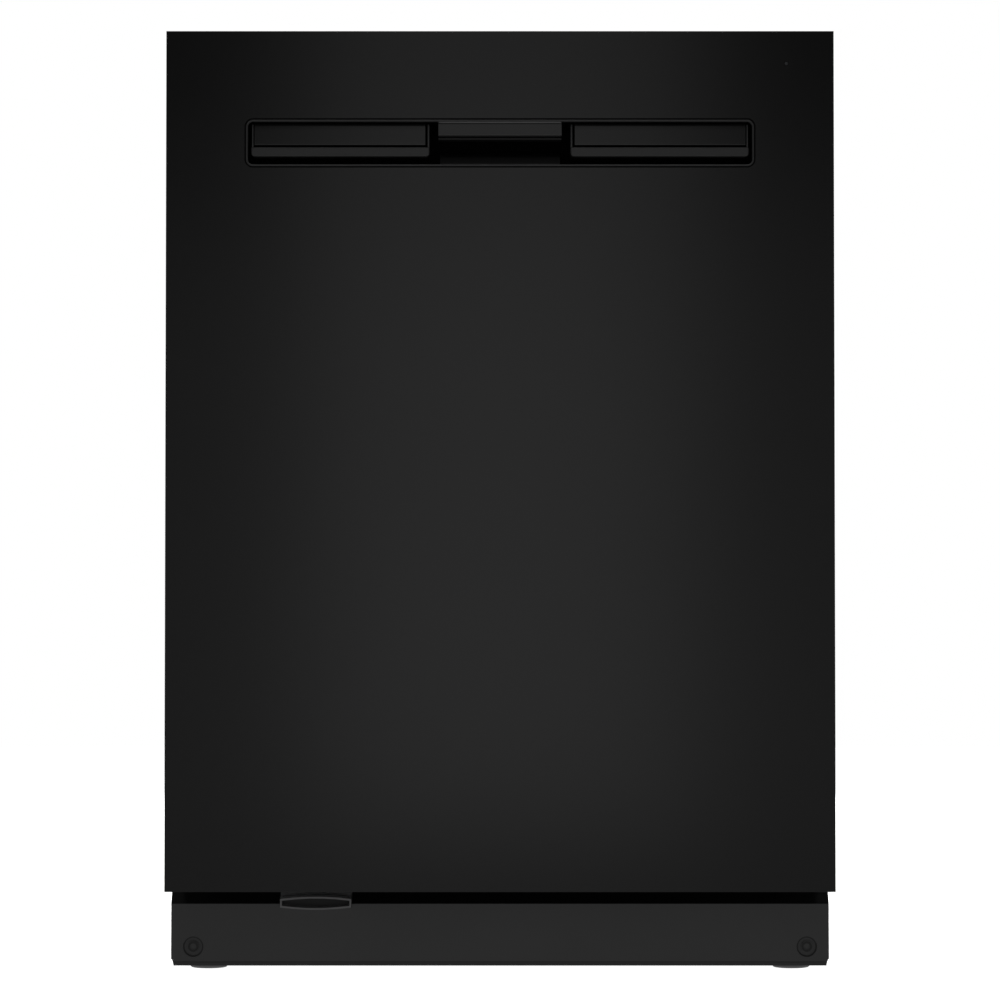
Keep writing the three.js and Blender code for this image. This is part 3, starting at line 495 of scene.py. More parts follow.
def lower_rack():
    """The lower rack's wires, with a clip and an axle for each of its wheels."""
    rows = [(y, 78) for y in (-140, -80, -20)] + [(y, 52) for y in (45, 105, 165, 220)]
    tines = [(y * MM, -215 * MM, 130 * MM, 12, height * MM) for y, height in rows]
    wires = rack_wires("lower_rack", 25 * MM, 149.6 * MM, tines, 206 * MM)
    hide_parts("lower_rack")
    clips = []
    for side, word in ((-1, "left"), (1, "right")):
        clip = (sided(side, 241 * MM, 249 * MM), 9 * MM, 8 * MM, 42 * MM, 2 * MM)
        axle = (sided(side, 249 * MM, 270.6 * MM), 3.2 * MM, 3.2 * MM, 3.2 * MM, 2.6 * MM)
        for end in ("front", "rear"):
            wheel_low, wheel_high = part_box(f"{end}_wheel_{word}")
            _, y, z = (wheel_low + wheel_high) / 2
            for (x0, x1), half, below, above, edge in (clip, axle):
                clips.append(soft_box((x0, y - half, z - below), (x1, y + half, z + above), edge))
    link_parts("wheel_clips", clips, GREY_PLASTIC, "lower_rack")


def upper_rack():
    """The upper rack's wires, with a height adjuster and its lever on each side."""
    rows = [y * MM for y in (-170, -110, -50, 10, 70, 130, 190)]
    tines = [(y, -215 * MM, -30 * MM, 8, 46 * MM) for y in rows]
    tines += [(y, 40 * MM, 215 * MM, 7, 46 * MM) for y in rows]
    wires = rack_wires("upper_rack", 12 * MM, 433.6 * MM, tines, 496 * MM)
    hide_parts("upper_rack")
    _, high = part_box("upper_rack")
    blocks = []
    for side in (-1, 1):
        x0, x1 = sided(side, 253 * MM, high.x - 0.2 * MM)
        blocks.append(soft_box((x0, -55 * MM, 484 * MM), (x1, 55 * MM, 530 * MM), 2 * MM))
        x0, x1 = sided(side, 250 * MM, 254 * MM)
        blocks.append(soft_box((x0, -18 * MM, 528 * MM), (x1, 18 * MM, 547 * MM), 1.5 * MM))
    link_parts("rack_adjusters", blocks, PALE_PLASTIC, "upper_rack")


# ------------------------------------------------------------------ spray arms, springs, feet
def spray_arm(node, jets_up):
    """A tapered hollow arm with a round hub and a row of jets on each blade."""
    low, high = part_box(node)
    centre = (low + high) / 2
    reach = high.x - centre.x
    half_height = (high.z - low.z) / 2 - 4 * MM
    sweep = 5 * MM
    stations, around = 44, 20
    verts = []
    for u in spaced(-1, 1, stations + 1):
        close = max(0.0, 1 - abs(u) ** 14) ** 0.5
        width = (19 - 7 * u * u) * MM * close + 0.2 * MM
        height = half_height * (1 - 0.25 * u * u) * close + 0.1 * MM
        twist = sweep * math.sin(u * math.pi / 2)
        for k in range(around):
            turn = 2 * math.pi * k / around
            c, s = math.cos(turn), math.sin(turn)
            y = math.copysign(abs(c) ** 0.6, c) * width
            z = math.copysign(abs(s) ** 0.8, s) * height
            verts.append((centre.x + u * (reach - 0.3 * MM), centre.y + y + twist, centre.z + z))
    parts = [(verts, tube_faces(stations + 1, around, flip=True))]
    hub = [
        (15 * MM, low.z),
        (22.5 * MM, low.z + 1 * MM),
        (23.5 * MM, low.z + 3 * MM),
        (23.5 * MM, high.z - 3 * MM),
        (22 * MM, high.z - 1 * MM),
        (12 * MM, high.z - 0.4 * MM),
    ]
    parts.append(turned_rings(hub, centre))
    face = 1 if jets_up else -1
    wide, narrow = 3.6 * MM, 2.2 * MM
    for share in (-0.86, -0.66, -0.46, -0.26, 0.3, 0.5, 0.7, 0.88):
        skew = 4 * MM * (1 if round(share * 50) % 2 else -1)
        top = centre.z + face * (half_height * (1 - 0.25 * share * share) + 1.6 * MM)
        jet = [(wide, centre.z), (wide, top), (narrow, top), (1.8 * MM, top - face * 1.5 * MM)]
        spot = (centre.x + share * reach, centre.y + sweep * math.sin(share * math.pi / 2) + skew)
        ring_verts, ring_faces = turned_rings(jet, spot, 16)
        parts.append((ring_verts, ring_faces if jets_up else [f[::-1] for f in ring_faces]))
    arm = link_parts(f"{node}_moulding", parts, GREY_PLASTIC, node)
    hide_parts(node)


def door_spring(side):
    """A coil of wire round the hinge pin."""
    node = f"door_spring_{side}"
    low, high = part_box(node)
    centre = (low + high) / 2
    wire = 1.1 * MM
    radius = (high.z - low.z) / 2 - wire
    turns, per_turn = 6, 24
    start, end = low.x + wire, high.x - wire
    points = []
    for i in range(turns * per_turn + 1):
        share = i / (turns * per_turn)
        turn = 2 * math.pi * turns * share
        x = start + (end - start) * share
        points.append((x, centre.y + radius * math.cos(turn), centre.z + radius * math.sin(turn)))
    coil = link_wires(node + "_coil", [(points, False)], wire, ZINC, "cabinet")
    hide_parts(node)


def levelling_foot(node):
    """A nylon pad on a threaded stem."""
    low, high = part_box(node)
    centre = (low + high) / 2
    pitch = 1.5 * MM
    crest, root = 4.0 * MM, 3.4 * MM
    pad = [
        (15.2, 0),
        (16.4, 0.3),
        (17.6, 1.5),
        (17.9, 3.2),
        (17.2, 5.0),
        (14.5, 6.6),
        (8.2, 7.2),
        (6.6, 8.0),
        (6.4, 14.6),
        (4.1, 15.0),
    ]
    profile = [(r * MM, low.z + z * MM) for r, z in pad]
    z = 16.0 * MM
    while z < high.z - pitch:
        profile += [(crest, z), (root, z + pitch / 2)]
        z += pitch
    profile.append((3.0 * MM, high.z - 0.3 * MM))
    verts, faces = turned_rings(profile, centre, 36)
    foot = link_mesh(f"{node}_pad", verts, faces, FOOT_GREY, node, 40)
    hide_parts(node)


def rack_wheel(node):
    """A moulded roller: a rounded tyre face, a recessed web with spokes and a cap on the axle."""
    low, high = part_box(node)
    centre = (low + high) / 2
    outside = 1 if centre.x > 0 else -1
    radius = (high.z - low.z) / 2
    half = (high.x - low.x) / 2
    web = half - 2.2 * MM
    tyre = [(4.5, 2.2), (3.5, 0.3), (1.2, 0.2), (0.1, 1.6)]
    tyre = [(radius - inward * MM, half - down * MM) for inward, down in tyre]
    profile = [(5.0 * MM, -half), (8.0 * MM, -half), (8.4 * MM, -web)]
    profile += [(r, -z) for r, z in tyre]
    profile += reversed(tyre)
    profile += [(8.4 * MM, web), (8.0 * MM, half - 0.2 * MM), (5.0 * MM, half)]
    verts, faces = turned_rings(profile, (0, 0))
    turned = [(centre.x + z * outside, centre.y + x * outside, centre.z + y) for x, y, z in verts]
    parts = [(turned, faces)]
    spoke_end = half - 0.9 * MM
    spoke = ((7 * MM, -1.1 * MM, -spoke_end), (radius - 3 * MM, 1.1 * MM, spoke_end), 0.4 * MM)
    for k in range(6):
        turn = math.pi * k / 3
        c, s = math.cos(turn), math.sin(turn)
        verts, faces = soft_box(*spoke)
        turned = [(z, x * c - y * s, x * s + y * c) for x, y, z in verts]
        parts.append(([tuple(centre + Vector(point)) for point in turned], faces))
    wheel = link_parts(f"{node}_roller", parts, GREY_PLASTIC, node)
    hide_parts(node)


def silverware_basket():
    """Open moulded basket: banded walls of upright slats, dividers, a slatted floor and a handle."""
    node = "silverware_basket"
    low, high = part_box(node)
    top = low.z + 118 * MM
    wall = 2.2 * MM
    slat = 2.6 * MM
    bars = []

    def bar(a, b):
        bars.append(soft_box(a, b, 0.7 * MM))

    dividers = spaced(low.y, high.y - wall, 5)
    for z0, z1 in ((low.z, low.z + 9 * MM), (low.z + 58 * MM, low.z + 64 * MM), (top - 11 * MM, top)):
        for x in (low.x, high.x - wall):
            bar((x, low.y, z0), (x + wall, high.y, z1))
        for y in dividers:
            bar((low.x, y, z0), (high.x, y + wall, z1))
    slat_low, slat_high = low.z + 2 * MM, top - 2 * MM
    for y in spaced(low.y + 1 * MM, high.y - 3.5 * MM, 26):
        for x in (low.x + 0.2 * MM, high.x - wall + 0.2 * MM):
            bar((x, y, slat_low), (x + wall - 0.4 * MM, y + slat, slat_high))
    for x in spaced(low.x + 1 * MM, high.x - 3.5 * MM, 8):
        for y in dividers:
            bar((x, y + 0.2 * MM, slat_low), (x + slat, y + wall - 0.2 * MM, slat_high))
        bar((x, low.y + 1 * MM, low.z + 0.3 * MM), (x + slat, high.y - 1 * MM, low.z + 2.3 * MM))
    for y in spaced(low.y + 6 * MM, high.y - 9 * MM, 17):
        bar((low.x + 1 * MM, y, low.z + 0.6 * MM), (high.x - 1 * MM, y + 2.4 * MM, low.z + 2.6 * MM))
    middle_x = (low.x + high.x) / 2
    middle_y = (low.y + high.y) / 2
    front, back = middle_y - 42 * MM, middle_y + 42 * MM
    for y in (front, back):
        bar((low.x, y - 3 * MM, top - 12 * MM), (high.x, y + 3 * MM, top - 6 * MM))
    basket = link_parts(f"{node}_moulding", bars, GREY_PLASTIC, node)
    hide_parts(node)
    foot, grip = top - 9 * MM, high.z - 3.2 * MM
    corners = ((front, foot), (front, grip), (back, grip), (back, foot))
    arch = rounded_path([(middle_x, y, z) for y, z in corners], 16 * MM)
    link_wires(f"{node}_handle", [(arch, False)], 3.0 * MM, GREY_PLASTIC, node)


def heating_element():
    """The sheathed heater: one loop of tube over the tub floor, its two ends turned down."""
    low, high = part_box("heating_element")
    tube = 3.5 * MM
    centre_x, centre_y = (low.x + high.x) / 2, 20 * MM
    radius = 150 * MM

    def on_loop(turn, z):
        return (centre_x - radius * math.sin(turn), centre_y + radius * math.cos(turn), z)

    turns = spaced(math.radians(-172), math.radians(172), 90)
    points = [on_loop(turn, high.z - tube - 1.6 * MM) for turn in turns]
    points.insert(0, on_loop(turns[0], low.z + 0.5 * MM))
    points.append(on_loop(turns[-1], low.z + 0.5 * MM))
    path = rounded_path(points, 9 * MM)
    loop = link_wires("heating_element_tube", [(path, False)], tube, HEATER, "cabinet")
    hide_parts("heating_element")


# ------------------------------------------------------------------ blanket
BLANKET_CORNER = 26 * MM
BLANKET_THICKNESS = 10.4 * MM
CHANNEL_STEP = 119 * MM
CHANNEL_DEPTH, CHANNEL_WIDTH = 4.6 * MM, 8 * MM


def quilt_depth(s, t, stitch_s, stitch_t):
    """How far the pad is pulled in at a point: deep at the sewn channels, none between them."""
    pull = 0.0
    for value, step in ((s, stitch_s), (t, stitch_t)):
        nearest = abs((value / step + 0.5) % 1 - 0.5) * step
        pull = max(pull, math.exp(-((nearest / CHANNEL_WIDTH) ** 2)))
    ripple = 0.35 * math.sin(s * 97.0 + 2.1 * math.sin(t * 41.0)) + 0.3 * math.sin(t * 83.0 + s * 29.0)
    return CHANNEL_DEPTH * pull + 0.6 * MM * (1 + ripple)


def rim_pull(*rows_from_edge):
    """1 at the sewn edge of a pad, dying away over the first few rows of its grid."""
    return math.exp(-min(rows_from_edge) / 1.2)


def padded_sheet(name, outer, inner, rows, columns):
    """A closed pad between two matching grids of points, outer and inner."""
    shift = len(outer)
    faces = grid_faces(rows, columns)
    faces += [tuple(i + shift for i in face[::-1]) for face in grid_faces(rows, columns)]
    border = list(range(columns - 1))
    border += [r * columns + columns - 1 for r in range(rows - 1)]
    border += [(rows - 1) * columns + c for c in range(columns - 1, 0, -1)]
    border += [r * columns for r in range(rows - 1, 0, -1)]
    for a, b in zip(border, border[1:] + border[:1]):
        faces.append((b, a, a + shift, b + shift))
    pad = link_mesh(name, outer + inner, faces, BLANKET, "cabinet", 60)
    return pad


def wrap_line(low, high, step):
    """Evenly spaced points up one side of the blanket, over its top and down the other side."""
    corners = [(low.x, 0, low.z), (low.x, 0, high.z), (high.x, 0, high.z), (high.x, 0, low.z)]
    return resampled(rounded_path(corners, BLANKET_CORNER, steps=10), step)


def outward_at(points, i):
    """The direction out of the blanket at point i of its wrap line."""
    ahead = points[min(i + 1, len(points) - 1)]
    behind = points[max(i - 1, 0)]
    along = Vector((ahead[0] - behind[0], 0, ahead[2] - behind[2])).normalized()
    return Vector((-along.z, 0, along.x))


def blanket_wrap():
    """The blanket up one side, over the top and down the other, sewn in channels."""
    low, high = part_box("sound_blanket")
    points = wrap_line(low, high, 7 * MM)
    rows, columns = len(points), 78
    outer, inner = [], []
    travelled = 0.0
    for i, here in enumerate(points):
        inward = -outward_at(points, i)
        if i:
            travelled += (Vector(here) - Vector(points[i - 1])).length
        for k, y in enumerate(spaced(low.y, high.y - 12 * MM, columns)):
            pull = rim_pull(k, columns - 1 - k, i, rows - 1 - i)
            sunk = quilt_depth(travelled, y - low.y, CHANNEL_STEP, 131 * MM) + 2.6 * MM * pull
            spot = Vector((here[0], y, here[2]))
            outer.append(tuple(spot + inward * sunk))
            inner.append(tuple(spot + inward * (BLANKET_THICKNESS - 1.2 * MM * pull)))
    wrap = padded_sheet("sound_blanket_wrap", outer, inner, rows, columns)
    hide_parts("sound_blanket")


def resampled(line, step):
    """Points at an even spacing along a line of points."""
    points = [line[0]]
    left = step
    for a, b in zip(line, line[1:]):
        a, b = Vector(a), Vector(b)
        length = (b - a).length
        at = left
        while at < length:
            points.append(tuple(a.lerp(b, at / length)))
            at += step
        left = at - length
    points.append(line[-1])
    return points


def blanket_back():
    """The pad that closes the back, tucked inside the wrap's edge, its top corners rounded."""
    low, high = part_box("sound_blanket")
    inset = 3 * MM
    rows, columns = 110, 84
    middle = (low.x + high.x) / 2
    outer, inner = [], []
    for r in range(rows):
        z = low.z + 2 * MM + (high.z - low.z - 6 * MM) * (r / (rows - 1)) ** 0.9
        above = max(0.0, z - (high.z - inset - BLANKET_CORNER))
        round_off = BLANKET_CORNER - math.sqrt(max(0.0, BLANKET_CORNER**2 - above**2))
        half = (high.x - low.x) / 2 - inset - round_off
        for c, x in enumerate(spaced(middle - half, middle + half, columns)):
            sunk = quilt_depth(z - low.z, x - low.x, CHANNEL_STEP, 146.5 * MM)
            sunk += 3.0 * MM * rim_pull(r, c, rows - 1 - r, columns - 1 - c)
            outer.append((x, high.y - sunk, z))
            inner.append((x, high.y - BLANKET_THICKNESS, z))
    padded_sheet("sound_blanket_back", outer, inner, rows, columns)


def straps():
    """Flat black bands that hold the wrap to the tub."""
    low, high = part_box("sound_blanket")
    points = wrap_line(low, high, 8 * MM)
    half, thick, sunk = 7 * MM, 0.5 * MM, 2.2 * MM
    parts = []
    for y in (low.y + 131 * MM, low.y + 393 * MM):
        verts = []
        for i, here in enumerate(points):
            outward = outward_at(points, i)
            base = Vector((here[0], y, here[2])) - outward * sunk
            for across, out in ((-half, 0), (-half, thick), (half, thick), (half, 0)):
                verts.append(tuple(base + outward * out + Vector((0, across, 0))))
        parts.append((verts, tube_faces(len(points), 4, flip=True)))
    link_parts("blanket_straps", parts, DARK_PLASTIC, "cabinet")


# ------------------------------------------------------------------ door and tub details
OPENING_HALF, OPENING_LOW, OPENING_HIGH = 229.2 * MM, 738.4 * MM, 778.0 * MM
OPENING_CORNER = 5 * MM


def opening_ring(name, section, material):
    """A ring round the handle opening. section goes round it as (out, back) in mm from its edge."""
    steps = 10
    right, left = OPENING_HALF - OPENING_CORNER, -OPENING_HALF + OPENING_CORNER
    upper, lower = OPENING_HIGH - OPENING_CORNER, OPENING_LOW + OPENING_CORNER
    ring = []
    for x, z, start in ((right, upper, 0), (left, upper, 90), (left, lower, 180), (right, lower, 270)):
        for k in range(steps + 1):
            turn = math.radians(start + 90 * k / steps)
            ring.append((x, z, math.cos(turn), math.sin(turn)))
    verts = []
    for out, back in section:
        reach = OPENING_CORNER + out * MM
        for x, z, c, s in ring:
            verts.append((x + reach * c, cad_low.y + back * MM, z + reach * s))
    faces = grid_faces(len(section), len(ring), wrap=True, flip=True, closed=True)
    link_mesh(name, verts, faces, material, "door", 50)


def handle_trim():
    """The moulded rim that seats the pocket in the door's face, and round it a flat dark band that is
    painted shade for the groove between rim and door.
    """
    rim = [
        (1.3, 0.2),
        (1.25, -0.1),
        (1.0, -0.25),
        (0.5, -0.28),
        (0.0, -0.2),
        (-0.3, 0.1),
        (-0.4, 0.8),
        (-0.4, 5.5),
        (0.2, 5.6),
        (0.25, 0.5),
    ]
    # The band's near black is painted shade, standing for the groove round the rim.
    joint = [(2.7, 0.2), (2.7, -0.06), (2.5, -0.08), (1.35, -0.08), (1.3, 0.2)]
    opening_ring("handle_trim", rim, SATIN_BLACK)
    opening_ring("handle_groove_shade", joint, TRIM_GROOVE_SHADE)


def drawn_in(distance, radius):
    """How far a rounded end is drawn in at a distance from its tip."""
    if distance >= radius:
        return 0.0
    return radius - math.sqrt(radius**2 - (radius - distance) ** 2)


def lofted_bar(outline, x0, x1, edge, corner=0.0):
    """A bar along X with rounded ends. outline goes round it as (y, z) in mm: y from the door's
    face backwards, z from the floor.

    corner rounds off the two lower corners that the bar has when seen from the front.
    """
    outline = [(cad_low.y + y * MM, z * MM) for y, z in outline]
    middle_z = sum(z for _, z in outline) / len(outline)
    lowest = min(z for _, z in outline)
    back = max(y for y, _ in outline)
    flat = 0.6 * MM
    steps = 6
    distances = {edge + flat, corner + flat}
    for k in range(steps + 1):
        for radius in (edge, corner):
            distances.add(radius * (1 - math.cos(math.pi / 2 * k / steps)))
    distances = sorted(distances)
    stations = [(x0 + distance, distance) for distance in distances]
    stations += [(x1 - distance, distance) for distance in reversed(distances)]
    verts = []
    for x, distance in stations:
        shrink = drawn_in(distance, edge)
        squeeze = 1 - drawn_in(distance, corner) / (middle_z - lowest)
        for y, z in outline:
            z_in = z - math.copysign(min(shrink, abs(z - middle_z)), z - middle_z)
            if z < middle_z:
                z_in = middle_z - (middle_z - z_in) * squeeze
            verts.append((x, min(y + shrink, back), z_in))
    return verts, tube_faces(len(stations), len(outline), flip=True)


# Sections of the pocket's mouldings as (back, up) in mm: back from the door's face, up from the floor.
WING = [
    (20.0, 756.3),
    (5.0, 756.3),
    (4.1, 756.6),
    (3.9, 757.0),
    (3.9, 757.6),
    (3.9, 770.0),
    (3.93, 773.5),
    (4.1, 775.2),
    (4.5, 776.1),
    (5.4, 776.6),
    (20.0, 776.6),
]
WING_STEP = [
    (20.0, 746.4),
    (6.0, 745.9),
    (4.4, 746.0),
    (3.6, 746.4),
    (3.3, 747.0),
    (3.3, 747.6),
    (3.3, 753.4),
    (3.3, 753.9),
    (3.6, 754.5),
    (4.4, 754.8),
    (20.0, 754.9),
]
GRIP = [
    (12.0, 764.9),
    (3.6, 764.8),
    (2.5, 765.1),
    (2.1, 765.6),
    (2.1, 766.2),
    (2.1, 775.2),
    (2.1, 775.9),
    (2.25, 776.4),
    (2.65, 777.4),
    (3.2, 777.9),
    (12.0, 778.1),
]
GRIP_LIP = [
    (24.0, 762.0),
    (10.0, 762.0),
    (9.4, 762.4),
    (9.2, 763.2),
    (9.4, 764.0),
    (10.0, 764.4),
    (24.0, 764.4),
]
SCOOP = [
    (7.6, 735.2),
    (7.4, 738.6),
    (7.6, 739.4),
    (9.0, 741.0),
    (14.0, 745.0),
    (20.0, 748.6),
    (28.0, 751.6),
    (41.5, 754.0),
    (41.5, 735.2),
]
GRIP_HALF = 56.2 * MM
POCKET_SMOOTH = 50


def pocket_shell():
    """The pocket's back and four walls, behind everything else in it, in a near black that is painted
    shade for the deep recess.
    """
    low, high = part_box("pocket_handle")
    front = cad_low.y + 6.3 * MM
    wall = 2 * MM
    sides = [
        ((low.x, high.y - wall, low.z), (high.x, high.y, high.z)),
        ((low.x, front, low.z), (high.x, high.y, low.z + wall)),
        ((low.x, front, high.z - wall), (high.x, high.y, high.z)),
        ((low.x, front, low.z), (low.x + wall, high.y, high.z)),
        ((high.x - wall, front, low.z), (high.x, high.y, high.z)),
    ]
    shell = [soft_box(a, b, 0.4 * MM) for a, b in sides]
    lining = link_parts("pocket_shell", shell, POCKET_PAINTED_SHADE, "door")
    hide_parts("pocket_handle")


def pocket_grip():
    """The grip bar, a pale strip along its top edge that is a painted highlight, and the step and end
    walls of each wing.
    """
    face = cad_low.y
    parts = [lofted_bar(GRIP, -GRIP_HALF, GRIP_HALF, 0.6 * MM)]
    for side in (-1, 1):
        x0, x1 = sided(side, 64.0 * MM, 226.2 * MM)
        parts.append(lofted_bar(WING_STEP, x0, x1, 1.2 * MM, corner=3.6 * MM))
        for inner, outer in ((64.2, 65.8), (224.0, 225.4)):
            x0, x1 = sided(side, inner * MM, outer * MM)
            low, high = (x0, face + 4.0 * MM, 751 * MM), (x1, face + 18 * MM, 775.4 * MM)
            parts.append(soft_box(low, high, 0.5 * MM))
    link_parts("pocket_grip", parts, SATIN_BLACK, "door", POCKET_SMOOTH)
    # A pale grey strip just under the trim: a painted highlight along the grip's top edge.
    highlight_half = GRIP_HALF - 0.6 * MM
    low = (-highlight_half, face + 1.2 * MM, 776.7 * MM)
    high = (highlight_half, face + 6 * MM, 777.75 * MM)
    edge = [soft_box(low, high, 0.3 * MM)]
    link_parts("pocket_grip_painted_highlight", edge, GRIP_PAINTED_HIGHLIGHT, "door")


def pocket_wings():
    """The broad upper face of the wing on each side of the grip."""
    wings = []
    for side in (-1, 1):
        x0, x1 = sided(side, 67.6 * MM, 223.4 * MM)
        wings.append(lofted_bar(WING, x0, x1, 0.4 * MM))
    link_parts("pocket_wings", wings, DOOR_BLACK, "door", POCKET_SMOOTH)


def pocket_scoop():
    """The hollow for the fingers behind the grip, and the lip under the grip."""
    scoop_half = GRIP_HALF - 1.6 * MM
    parts = [
        lofted_bar(SCOOP, -scoop_half, scoop_half, 0.3 * MM),
        lofted_bar(GRIP_LIP, -GRIP_HALF, GRIP_HALF, 0.6 * MM),
    ]
    link_parts("pocket_scoop", parts, SCOOP_BLACK, "door", POCKET_SMOOTH)


def spout_flap():
    """The soft flap that closes the spout a little way in, near black as painted shade for the spout's
    inside.
    """
    low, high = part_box("drip_spout")
    centre_x = (low.x + high.x) / 2
    half = (high.x - low.x) / 2 - 1.9 * MM
    front = low.y + 7 * MM
    back = front + 1.2 * MM
    bottom, top = 61.8 * MM, 71.2 * MM
    columns = 25
    verts = []
    for u in spaced(-1, 1, columns):
        bow = 1.5 * MM * (1 - u * u)
        x = centre_x + u * half
        z0, z1 = bottom - bow, top + bow
        verts += [(x, front, z0), (x, front, z1), (x, back, z1), (x, back, z0)]
    faces = tube_faces(columns, 4, flip=True)
    link_mesh("drip_spout_flap", verts, faces, SPOUT_SHADE, "cabinet")


def screw_rings():
    """Rings painted darker at each toe screw, as painted shade: one at the edge of its dimple, one on
    its head.
    """
    steps = 40
    depth = 0.8
    parts = []
    for node in both_sides("toe_screw"):
        low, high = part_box(node)
        centre = (low + high) / 2
        for inner, outer, root in ((8.2, 9.3, -1.9), (3.0, 4.8, -0.7)):
            tip = root + depth
            verts = []
            for radius, out in ((inner, root), (outer, root), (outer, tip), (inner, tip)):
                for k in range(steps):
                    turn = 2 * math.pi * k / steps
                    x = centre.x + radius * MM * math.cos(turn)
                    z = centre.z + radius * MM * math.sin(turn)
                    verts.append((x, low.y - out * MM, z))
            parts.append((verts, grid_faces(4, steps, wrap=True, closed=True)))
    link_parts("toe_screw_rings", parts, TOE_SCREW_SHADE, "cabinet")


def ridge(start, end, out, half, height):
    """A pressed rib from start to end that swells out of a flat wall and dies away at its ends."""
    start, end, out = Vector(start), Vector(end), Vector(out)
    along = (end - start).normalized()
    across = along.cross(out)
    length = (end - start).length
    near_end = [share * half / length for share in (0, 0.3, 0.7, 1.0)]
    shares = near_end + [0.5] + [1 - share for share in reversed(near_end)]
    around = 9
    sunk = 0.15 * MM
    verts = []
    for share in shares:
        taper = min(1.0, min(share, 1 - share) * length / half)
        scale = math.sqrt(max(0.0, 1 - (1 - taper) ** 2))
        for w in spaced(-1, 1, around):
            bulge = (0.5 + 0.5 * math.cos(math.pi * w)) * height * scale
            point = start + along * share * length + across * w * half * max(scale, 0.02)
            verts.append(tuple(point + out * (bulge - sunk)))
    return verts, grid_faces(len(shares), around)


def liner_ribs():
    """Pressed ridges on the door liner: five across it and one up each side."""
    _, liner_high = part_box("door_liner")
    face = liner_high.y
    out = (0, 1, 0)
    half_width = 215 * MM
    parts = []
    for z in (160 * MM, 185 * MM, 640 * MM, 670 * MM, 700 * MM):
        parts.append(ridge((-half_width, face, z), (half_width, face, z), out, 6 * MM, 1.2 * MM))
    for x in (-228 * MM, 228 * MM):
        parts.append(ridge((x, face, 160 * MM), (x, face, 780 * MM), out, 7 * MM, 1.4 * MM))
    link_parts("door_liner_ribs", parts, STEEL_X, "door")


def tub_ribs():
    """Pressed ridges on the tub's side and back walls."""
    _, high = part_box("tub")
    wall = 279 * MM
    back = high.y - 1 * MM
    heights = [z * MM for z in (215, 300, 385, 600, 690)]
    ends = []
    for side in (-1, 1):
        for z in heights:
            ends.append(((side * wall, -215 * MM, z), (side * wall, 250 * MM, z), (-side, 0, 0)))
    for z in heights:
        for a, b in ((-240 * MM, -35 * MM), (35 * MM, 240 * MM)):
            ends.append(((a, back, z), (b, back, z), (0, -1, 0)))
    parts = [ridge(start, end, out, 9 * MM, 1.6 * MM) for start, end, out in ends]
    link_parts("tub_ribs", parts, STEEL_X, "cabinet")


def panel_lights():
    """A row of small cycle lights let into the top panel."""
    _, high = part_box("control_panel")
    dome = [(1.9, -1), (1.9, 0.15), (1.3, 0.3)]
    dome = [(radius * MM, high.z + up * MM) for radius, up in dome]
    y = -287 * MM
    parts = [turned_rings(dome, (x * MM, y), 20) for x in (-185, -115, -45, -10, 25, 60, 155)]
    link_parts("panel_lights", parts, LENS, "door")


lower_rack()
upper_rack()
spray_arm("lower_spray_arm", True)
spray_arm("middle_spray_arm", True)
spray_arm("upper_spray_arm", False)
for side in ("left", "right"):
    door_spring(side)
    for end in ("front", "rear"):
        levelling_foot(f"{end}_foot_{side}")
        rack_wheel(f"{end}_wheel_{side}")
silverware_basket()
heating_element()
blanket_wrap()
blanket_back()
straps()
handle_trim()
pocket_shell()
pocket_grip()
pocket_wings()
pocket_scoop()
spout_flap()
screw_rings()
liner_ribs()
tub_ribs()
panel_lights()


# ------------------------------------------------------------------ camera, light, floor
CAMERA_DISTANCE = 3.5
CAMERA_HEIGHT = 0.327
CAMERA_TILT = 1.75
LENS_MM = 139.3
FLOOR_REACH = 6.0
ROOM_STRENGTH = 0.03
SWEEP_STRENGTH = 0.24


def make_camera():
    """A long lens, square on to the door, level with its lower half and tilted up a little."""
    data = bpy.data.cameras.new("camera")
    data.lens = LENS_MM
    data.sensor_width = 36
    camera = bpy.data.objects.new("camera", data)
    bpy.context.scene.collection.objects.link(camera)
    camera.location = (0, cad_low.y - CAMERA_DISTANCE, CAMERA_HEIGHT)
    camera.rotation_euler = (math.radians(90 + CAMERA_TILT), 0, 0)
    bpy.context.scene.camera = camera


def soft_light(name, place_at, aim, size, power):
    """A rectangular studio light that lights the object without showing itself."""
    data = bpy.data.lights.new(name, "AREA")
    data.shape = "RECTANGLE"
    data.size, data.size_y = size
    data.energy = power
    lamp = bpy.data.objects.new(name, data)
    bpy.context.scene.collection.objects.link(lamp)
    lamp.location = place_at
    towards = Vector(aim) - Vector(place_at)
    lamp.rotation_euler = towards.to_track_quat("-Z", "Y").to_euler()
    lamp.visible_camera = False


def make_world():
    """White behind the object, and a dim grey room for everything the object reflects."""
    world = bpy.data.worlds.new("room")
    bpy.context.scene.world = world
    world.use_nodes = True
    tree = world.node_tree
    tree.nodes.clear()
    seen = add_node(tree, "ShaderNodeBackground", Color=(1, 1, 1, 1), Strength=1.0)
    felt = add_node(tree, "ShaderNodeBackground", Color=(1, 1, 1, 1), Strength=ROOM_STRENGTH)
    path = add_node(tree, "ShaderNodeLightPath")
    mix = add_node(tree, "ShaderNodeMixShader")
    out = add_node(tree, "ShaderNodeOutputWorld")
    tree.links.new(path.outputs["Is Camera Ray"], mix.inputs["Fac"])
    tree.links.new(felt.outputs[0], mix.inputs[1])
    tree.links.new(seen.outputs[0], mix.inputs[2])
    tree.links.new(mix.outputs[0], out.inputs["Surface"])


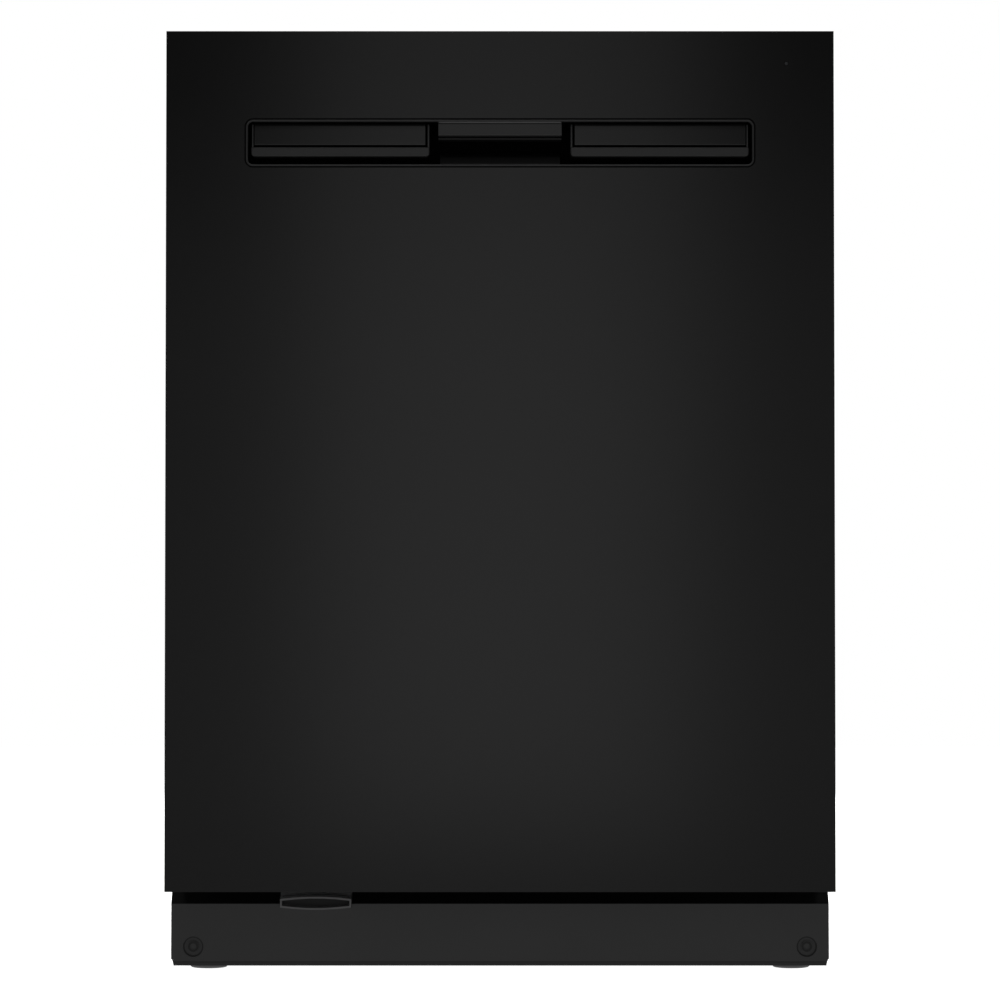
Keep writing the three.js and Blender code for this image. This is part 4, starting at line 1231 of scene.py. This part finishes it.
def pale_floor():
    """Studio white to look at, and a darker sweep for what the black door mirrors."""
    material, tree, shader = blank_material("pale_floor", (0.8, 0.8, 0.8), 0.9)
    uneven = ramp(tree, noise(tree, place(tree), 30.0), 0.85, 0.95)
    tree.links.new(uneven, shader.inputs["Roughness"])
    shader.inputs["Specular IOR Level"].default_value = 0.1
    shader.inputs["Emission Color"].default_value = (1, 1, 1, 1)
    shader.inputs["Emission Strength"].default_value = 1.0
    sweep = add_node(tree, "ShaderNodeEmission", Color=(1, 1, 1, 1), Strength=SWEEP_STRENGTH)
    path = add_node(tree, "ShaderNodeLightPath")
    mix = add_node(tree, "ShaderNodeMixShader")
    out = next(n for n in tree.nodes if n.type == "OUTPUT_MATERIAL")
    tree.links.new(path.outputs["Is Camera Ray"], mix.inputs["Fac"])
    tree.links.new(sweep.outputs[0], mix.inputs[1])
    tree.links.new(shader.outputs[0], mix.inputs[2])
    tree.links.new(mix.outputs[0], out.inputs["Surface"])
    return material


def make_floor():
    """A wide flat floor under the machine."""
    data = bpy.data.meshes.new("floor")
    corners = [(-1, -1), (1, -1), (1, 1), (-1, 1)]
    data.from_pydata([(x * FLOOR_REACH, y * FLOOR_REACH, 0) for x, y in corners], [], [(0, 1, 2, 3)])
    data.materials.append(pale_floor())
    floor = bpy.data.objects.new("floor", data)
    bpy.context.scene.collection.objects.link(floor)


make_camera()
make_world()
make_floor()
MACHINE_MIDDLE = (0, 0.3, 0.45)
REAR_SIDE_SIZE, REAR_SIDE_POWER = (1.6, 2.0), 30

soft_light("strip", (0, cad_low.y - 1.5, 0.68), (0, 0, 0.68), size=(0.5, 1.28), power=0.72)
soft_light("wide_fill", (0, cad_low.y - 4.0, 0.58), (0, 0, 0.58), size=(5.0, 1.15), power=3.4)
soft_light("high_front", (0, -1.6, 2.3), (0, -0.3, 0.7), size=(1.2, 0.3), power=3)
soft_light("overhead", (0, 1.3, 2.6), (0, 1.0, 0), size=(1.0, 2.0), power=55)
soft_light("tub_lamp", (0, -0.08, 0.80), (0, -0.14, 0.2), size=(0.4, 0.25), power=3.5)
soft_light("left_rear", (-2.6, 0.9, 1.0), MACHINE_MIDDLE, REAR_SIDE_SIZE, REAR_SIDE_POWER)
soft_light("right_rear", (2.6, 0.9, 1.0), MACHINE_MIDDLE, REAR_SIDE_SIZE, REAR_SIDE_POWER)
soft_light("rear", (0, 3.2, 1.2), MACHINE_MIDDLE, size=(2.4, 1.8), power=40)

bpy.context.scene.view_settings.view_transform = "Standard"
